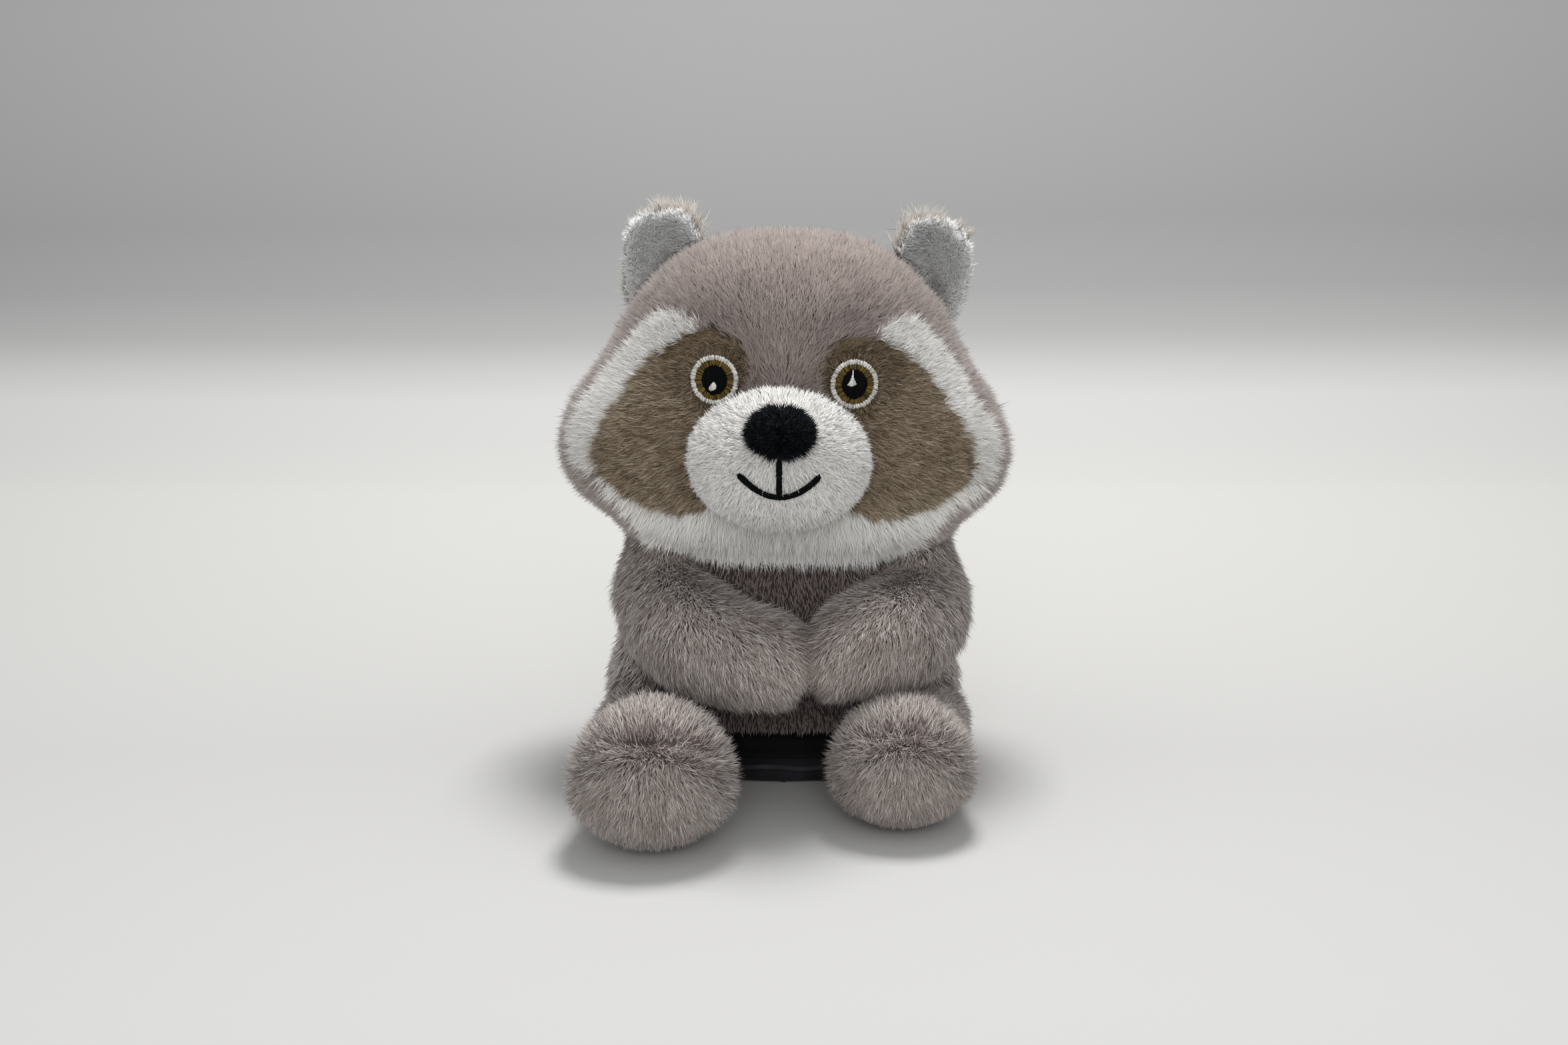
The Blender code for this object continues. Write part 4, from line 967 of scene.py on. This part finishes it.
def fittedFront(nodeNames, ridge=False):
    # Rays from the front hit the solids, and a low polynomial is fitted to the hits. With ridge it
    # keeps to the foremost ones
    tree = outline(nodeNames)
    low = np.min([cornersOf(name)[0] for name in nodeNames], axis=0)
    high = np.max([cornersOf(name)[1] for name in nodeNames], axis=0)
    across, up = (np.linspace(low[k], high[k], 48) for k in (0, 2))
    inFront = low[1] - 50 * mm
    hits = []
    for x in across:
        for z in up:
            place, normal, _, _ = tree.ray_cast(Vector((x, inFront, z)), Vector((0, 1, 0)))
            if place is not None and normal.y < -0.4:
                hits.append(place)
    hits = np.array(hits)
    middle = hits.mean(0)

    def terms(x, z):
        x, z = (np.asarray(x) - middle[0]) / (10 * mm), (np.asarray(z) - middle[2]) / (10 * mm)
        return np.stack([x * 0 + 1, x, z, x * x, x * z, z * z, x * x * z, x * x * x * x], -1)

    keep = np.ones(len(hits), bool)
    for _ in range(5):
        kept = hits[keep]
        factors = np.linalg.lstsq(terms(kept[:, 0], kept[:, 2]), kept[:, 1], rcond=None)[0]
        miss = hits[:, 1] - terms(hits[:, 0], hits[:, 2]) @ factors
        limit = max(2.5 * np.median(np.abs(miss)), 0.05 * mm)
        keep = miss < 0.0 if ridge else np.abs(miss) < limit

    def surface(x, z, lift):
        step = 0.1 * mm
        y, besideX, besideZ = terms([x, x + step, x], [z, z, z + step]) @ factors
        normal = Vector(((besideX - y) / step, -1, (besideZ - y) / step)).normalized()
        return Vector((x, y, z)) + normal * lift * mm

    return surface


# Along a thread: share of its length, share of its rise and share of its width
threadProfile = [(0.0, 0.0, 0.55), (0.12, 0.7, 0.95), (0.5, 1.0, 1.0), (0.88, 0.7, 0.95),
                 (1.0, 0.0, 0.55)]


def layThreads(nodeName, threads, backing, look, surface):
    # A thread is a low arch between two points seen from the front. The backing is the cloth
    # of thread under them: rows of such points, joined row by row
    points, faces, tones = [], [], []

    def lay(x, z, lift):
        points.append(tuple(surface(x, z, look["base"] + lift)))

    for row, nextRow in zip(backing, backing[1:]):
        first, count = len(points), len(row)
        for x, z, lift in (*row, *nextRow):
            lay(x, z, lift)
        for i in range(first, first + count - 1):
            faces.append((i, i + 1, i + count + 1, i + count))
            tones.append(0.02)
    for (x0, z0), (x1, z1), tone in threads:
        length = math.hypot(x1 - x0, z1 - z0)
        sideX = -(z1 - z0) / length * look["width"] / 2 * mm
        sideZ = (x1 - x0) / length * look["width"] / 2 * mm
        first = len(points)
        for share, rise, broad in threadProfile:
            x, z = x0 + (x1 - x0) * share, z0 + (z1 - z0) * share
            for across in (-1, 0, 1):
                lay(x + sideX * across * broad, z + sideZ * across * broad,
                    look["lift"] * rise + look["width"] * 0.35 * (1 - abs(across)))
        for ring in range(len(threadProfile) - 1):
            for edge in (0, 1):
                a = first + 3 * ring + edge
                faces.append((a, a + 3, a + 4, a + 1))
                tones.append(tone)
    mesh = bpy.data.meshes.new(nodeName)
    mesh.from_pydata(points, [], faces)
    uv = mesh.uv_layers.new(name="OFBake")
    pairs = np.stack([np.repeat(tones, 4), np.full(len(tones) * 4, 0.5)], 1)
    uv.data.foreach_set("uv", pairs.astype(np.float32).ravel())
    mesh.materials.append(threadMaterials[look["thread"]])
    mesh.shade_smooth()
    finishPiece(addObject(pieceName(nodeName), mesh), [nodeName])


# In mm: a thread's width, its rise at the middle and its foot's height over the fitted face
eyeLooks = {
    "rim": dict(thread="whiteThread", slot="white_thread", width=0.27, lift=0.3, base=0.1,
                count=165),
    "iris": dict(thread="goldThread", slot="gold_thread", width=0.28, lift=0.15, base=0.05,
                 count=150),
    "pupil": dict(thread="blackThread", slot="black_thread", width=0.3, lift=0.15, base=0.1,
                  gap=0.26),
    "glint": dict(thread="whiteThread", slot="white_thread", width=0.36, lift=0.15, base=0.35),
}
rimWidth = 1.15
# Rows of each glint from left to right: place across, foot and top, in mm from the eye's middle
glintRows = {
    "right": [(-1.35, -2.9, -1.9), (-1.05, -3.2, -1.4), (-0.75, -3.1, -1.0), (-0.45, -3.0, -0.7),
              (-0.15, -2.9, -0.6), (0.15, -2.8, -0.9), (0.4, -2.5, -1.4)],
    "left": [(-2.0, -0.3, 0.1), (-1.7, -0.4, 0.5), (-1.4, -0.5, 1.0), (-1.1, -0.6, 1.7),
             (-0.8, -0.6, 2.6), (-0.55, -0.55, 4.1), (-0.3, -0.5, 1.8), (0.0, -0.35, 1.0),
             (0.3, -0.2, 0.3)],
}


def makeEye(side, rng):
    low, high = cornersOf(f"eye_rim_{side}")
    x0, _, z0 = (low + high) / 2
    outer = (high[0] - low[0]) / 2 + 0.1 * mm
    inner = outer - rimWidth * mm
    pupilLow, pupilHigh = cornersOf(f"eye_pupil_{side}")
    wide, _, tall = (pupilHigh - pupilLow) / 2
    surface = fittedFront([f"eye_{ring}_{side}" for ring in eyeLooks])

    def pupilEdge(angle):
        return 1 / math.hypot(math.cos(angle) / wide, math.sin(angle) / tall)

    def spot(angle, reach):
        return x0 + math.cos(angle) * reach, z0 + math.sin(angle) * reach

    def hoop(reach, lift=-0.05):
        # A closed row of the backing
        turns = [2 * math.pi * i / 64 for i in range(65)]
        return [(*spot(a, reach(a)), lift) for a in turns]

    def spokes(ring, near, far, tone):
        laid, count = [], eyeLooks[ring]["count"]
        for i in range(count):
            a = 2 * math.pi * (i + rng.uniform(-0.3, 0.3)) / count
            laid.append((spot(a, near(a)), spot(a + rng.uniform(-0.01, 0.01), far(a)), tone()))
        return laid

    threads = {
        "rim": spokes("rim", lambda a: inner - rng.uniform(-0.1, 0.35) * mm,
                      lambda a: outer + rng.uniform(-0.15, 0.25) * mm,
                      lambda: rng.uniform(0.2, 1.0)),
        "iris": spokes("iris", lambda a: pupilEdge(a) + rng.uniform(-0.5, 0.25) * mm,
                       lambda a: inner + 0.1 * mm, lambda: rng.uniform(0.05, 0.95)),
        "pupil": [],
        "glint": [],
    }
    slant = 0.1 * mm  # of the upright threads
    for x in np.arange(-wide + 0.1 * mm, wide, eyeLooks["pupil"]["gap"] * mm):
        reach = tall * math.sqrt(max(1 - (x / wide) ** 2, 0.01))
        foot, top = (x0 + x, z0 - reach), (x0 + x + slant, z0 + reach)
        threads["pupil"].append((foot, top, rng.uniform(0.1, 0.7)))
    for x, below, above in glintRows[side]:
        foot, top = (x0 + x * mm, z0 + below * mm), (x0 + x * mm + slant, z0 + above * mm)
        threads["glint"].append((foot, top, rng.uniform(0.3, 0.9)))
    # The rim's backing turns down at its outer edge
    backings = {
        "rim": [hoop(lambda a: outer, -1.6), hoop(lambda a: outer - 0.25 * mm),
                hoop(lambda a: inner - 0.05 * mm)],
        "iris": [hoop(lambda a: inner + 0.1 * mm), hoop(lambda a: pupilEdge(a) - 0.3 * mm)],
        "pupil": [hoop(pupilEdge, -0.1), hoop(lambda a: 0.01 * mm, 0.0)],
        "glint": [hoop(lambda a: 0.35 * mm, -0.3), hoop(lambda a: 0.01 * mm, -0.3)],
    }
    for ring, look in eyeLooks.items():
        layThreads(f"eye_{ring}_{side}", threads[ring], backings[ring], look, surface)


def makeMouth(rng):
    # Short slanting threads side by side, along the line under the nose and along the smile
    look = dict(thread="blackThread", slot="black_thread", width=0.32, lift=0.45, base=-0.3,
                gap=0.22, slant=0.4, halfWidth=0.9)
    surface = fittedFront(["mouth_stitch"], ridge=True)
    spots = coordinates(nodes["mouth_stitch"].data)
    middle = (spots[:, 0].min() + spots[:, 0].max()) / 2
    sides = np.abs(spots[:, 0] - middle) > 2.5 * mm
    smile = np.polyfit(spots[sides, 0], spots[sides, 2], 2)
    above = spots[spots[:, 2] > np.polyval(smile, spots[:, 0]) + 2.0 * mm]
    above = above[np.abs(above[:, 0] - middle) < 2 * mm]
    lineTop, lineX = above[:, 2].max() + 1.2 * mm, above[:, 0].mean()
    xs = np.linspace(spots[:, 0].min() + 0.5 * mm, spots[:, 0].max() - 0.5 * mm, 200)
    path = np.stack([xs, np.polyval(smile, xs)], 1)
    line = np.linspace([lineX, lineTop], [middle, np.polyval(smile, middle)], 60)
    threads = []
    for run in (line, path):
        step = np.linalg.norm(np.diff(run, axis=0), axis=1)
        total = np.concatenate([[0], np.cumsum(step)])
        for place in np.arange(0, total[-1], look["gap"] * mm):
            spot, ahead, behind = (
                np.array([np.interp(at, total, run[:, k]) for k in (0, 1)])
                for at in (place, min(place + 0.3 * mm, total[-1]), max(place - 0.3 * mm, 0)))
            along = (ahead - behind) / np.linalg.norm(ahead - behind)
            # Narrower at both ends
            ending = min(place, total[-1] - place) / mm
            half = look["halfWidth"] * mm * min(1.0, 0.55 + 0.5 * ending) * rng.uniform(0.9, 1.1)
            across = np.array([-along[1], along[0]]) + along * look["slant"]
            threads.append((tuple(spot - across * half), tuple(spot + across * half),
                            float(rng.uniform(0.1, 0.9))))
    backing = [[(x, z + offset * mm, -0.1) for x, z in path[::-10]] for offset in (0.6, -0.6)]
    layThreads("mouth_stitch", threads, backing, look, surface)


rng = np.random.default_rng(7)
makeEye("left", rng)
makeEye("right", rng)
makeMouth(rng)
print("embroidery done")

bpy.data.objects.remove(strand)


# Stage

# In metres. tones run from the front of the floor to the back, and then up the wall
sweep = dict(
    wide=4.0, front=-2.0, back=0.9, high=2.6, bend=0.5, tonesFrom=-0.2, tonesTo=0.82,
    drift=0.03, slope=0.012,
    # Painted light and shade: paler to the back of the floor, darker where the sweep rises
    tones=[(0.0, "#BBBAB8"), (0.18, "#B6B5B3"), (0.38, "#BDBCB9"), (0.54, "#C4C3C0"),
           (0.70, "#C1C0BE"), (0.735, "#B4B3B1"), (0.77, "#A0A09E"), (0.81, "#939392"),
           (0.865, "#8D8D8C"), (0.985, "#9A9A99")])


def sweepMaterial():
    # Matt board, a little uneven. Painted light and shade: pale on the floor, grey where it rises
    material, tree, shader = newMaterial("paleSweep")
    place = addNode(tree, "ShaderNodeTexCoord").outputs["Object"]
    parts = addNode(tree, "ShaderNodeSeparateXYZ", {0: place})
    rise = addNode(tree, "ShaderNodeMapRange", {
        "Value": parts.outputs["Y"], "From Min": sweep["tonesFrom"], "From Max": sweep["tonesTo"]})
    cloud = addNode(tree, "ShaderNodeTexNoise", {"Vector": place, "Scale": 1.6, "Detail": 1.0})
    drift = maths(tree, "MULTIPLY", cloud.outputs[0], sweep["drift"])
    # Painted shade: the tones shift across the sweep, so the wall is darker towards +x
    slope = maths(tree, "MULTIPLY", parts.outputs["X"], sweep["slope"])
    mixed = maths(tree, "SUBTRACT", rise.outputs[0], maths(tree, "ADD", drift, slope))
    tree.links.new(colourRamp(tree, mixed, sweep["tones"]), shader.inputs["Base Color"])
    shader.inputs["Roughness"].default_value = 0.7
    shader.inputs["Specular IOR Level"].default_value = 0.2
    return material


def makeStage():
    wide, back, bend = sweep["wide"], sweep["back"], sweep["bend"]
    rows = [(sweep["front"], 0.0)]
    for i in range(13):
        angle = math.pi / 2 * i / 12
        rows.append((back - bend + bend * math.sin(angle), bend - bend * math.cos(angle)))
    rows.append((back, sweep["high"]))
    points = [(x, y, z) for y, z in rows for x in (-wide, wide)]
    faces = [(2 * i, 2 * i + 1, 2 * i + 3, 2 * i + 2) for i in range(len(rows) - 1)]
    mesh = bpy.data.meshes.new("floor")
    mesh.from_pydata(points, [], faces)
    mesh.materials.append(sweepMaterial())
    mesh.shade_smooth()
    floor = addObject("floor", mesh)


lamps = {
    "overhead": dict(place=(0.06, 0.20, 1.0), size=0.3, power=10.1),
    "front": dict(place=(0.0, -1.0, 0.5), size=0.5, power=2.8),
}
lampsAim = Vector((0, 0, 0.06))
skyColour, skyStrength = "#F2F4F6", 0.8


def makeLights():
    world = bpy.data.worlds.new("studio")
    bpy.context.scene.world = world
    world.use_nodes = True
    background = world.node_tree.nodes["Background"]
    background.inputs["Color"].default_value = linearColour(skyColour)
    background.inputs["Strength"].default_value = skyStrength
    for name, sizes in lamps.items():
        light = bpy.data.lights.new(name, "AREA")
        light.size = sizes["size"]
        light.energy = sizes["power"]
        lamp = addObject(name, light)
        lamp.location = sizes["place"]
        towards = lampsAim - Vector(sizes["place"])
        lamp.rotation_euler = towards.to_track_quat("-Z", "Y").to_euler()


# Worked out from where the feet and the base pad touch the floor. Lens and sensor are in mm
view = dict(place=(0, -0.640, 0.236), downDegrees=14.04, lens=47.76, sensor=36, farthest=20)


def makeCamera():
    data = bpy.data.cameras.new("camera")
    data.lens = view["lens"]
    data.sensor_width = view["sensor"]
    data.clip_end = view["farthest"]
    camera = addObject("camera", data)
    camera.location = view["place"]
    camera.rotation_euler = (math.radians(90 - view["downDegrees"]), 0, 0)
    bpy.context.scene.camera = camera


makeStage()
makeLights()
makeCamera()
bpy.context.scene.view_settings.view_transform = "Standard"
print("scene done")
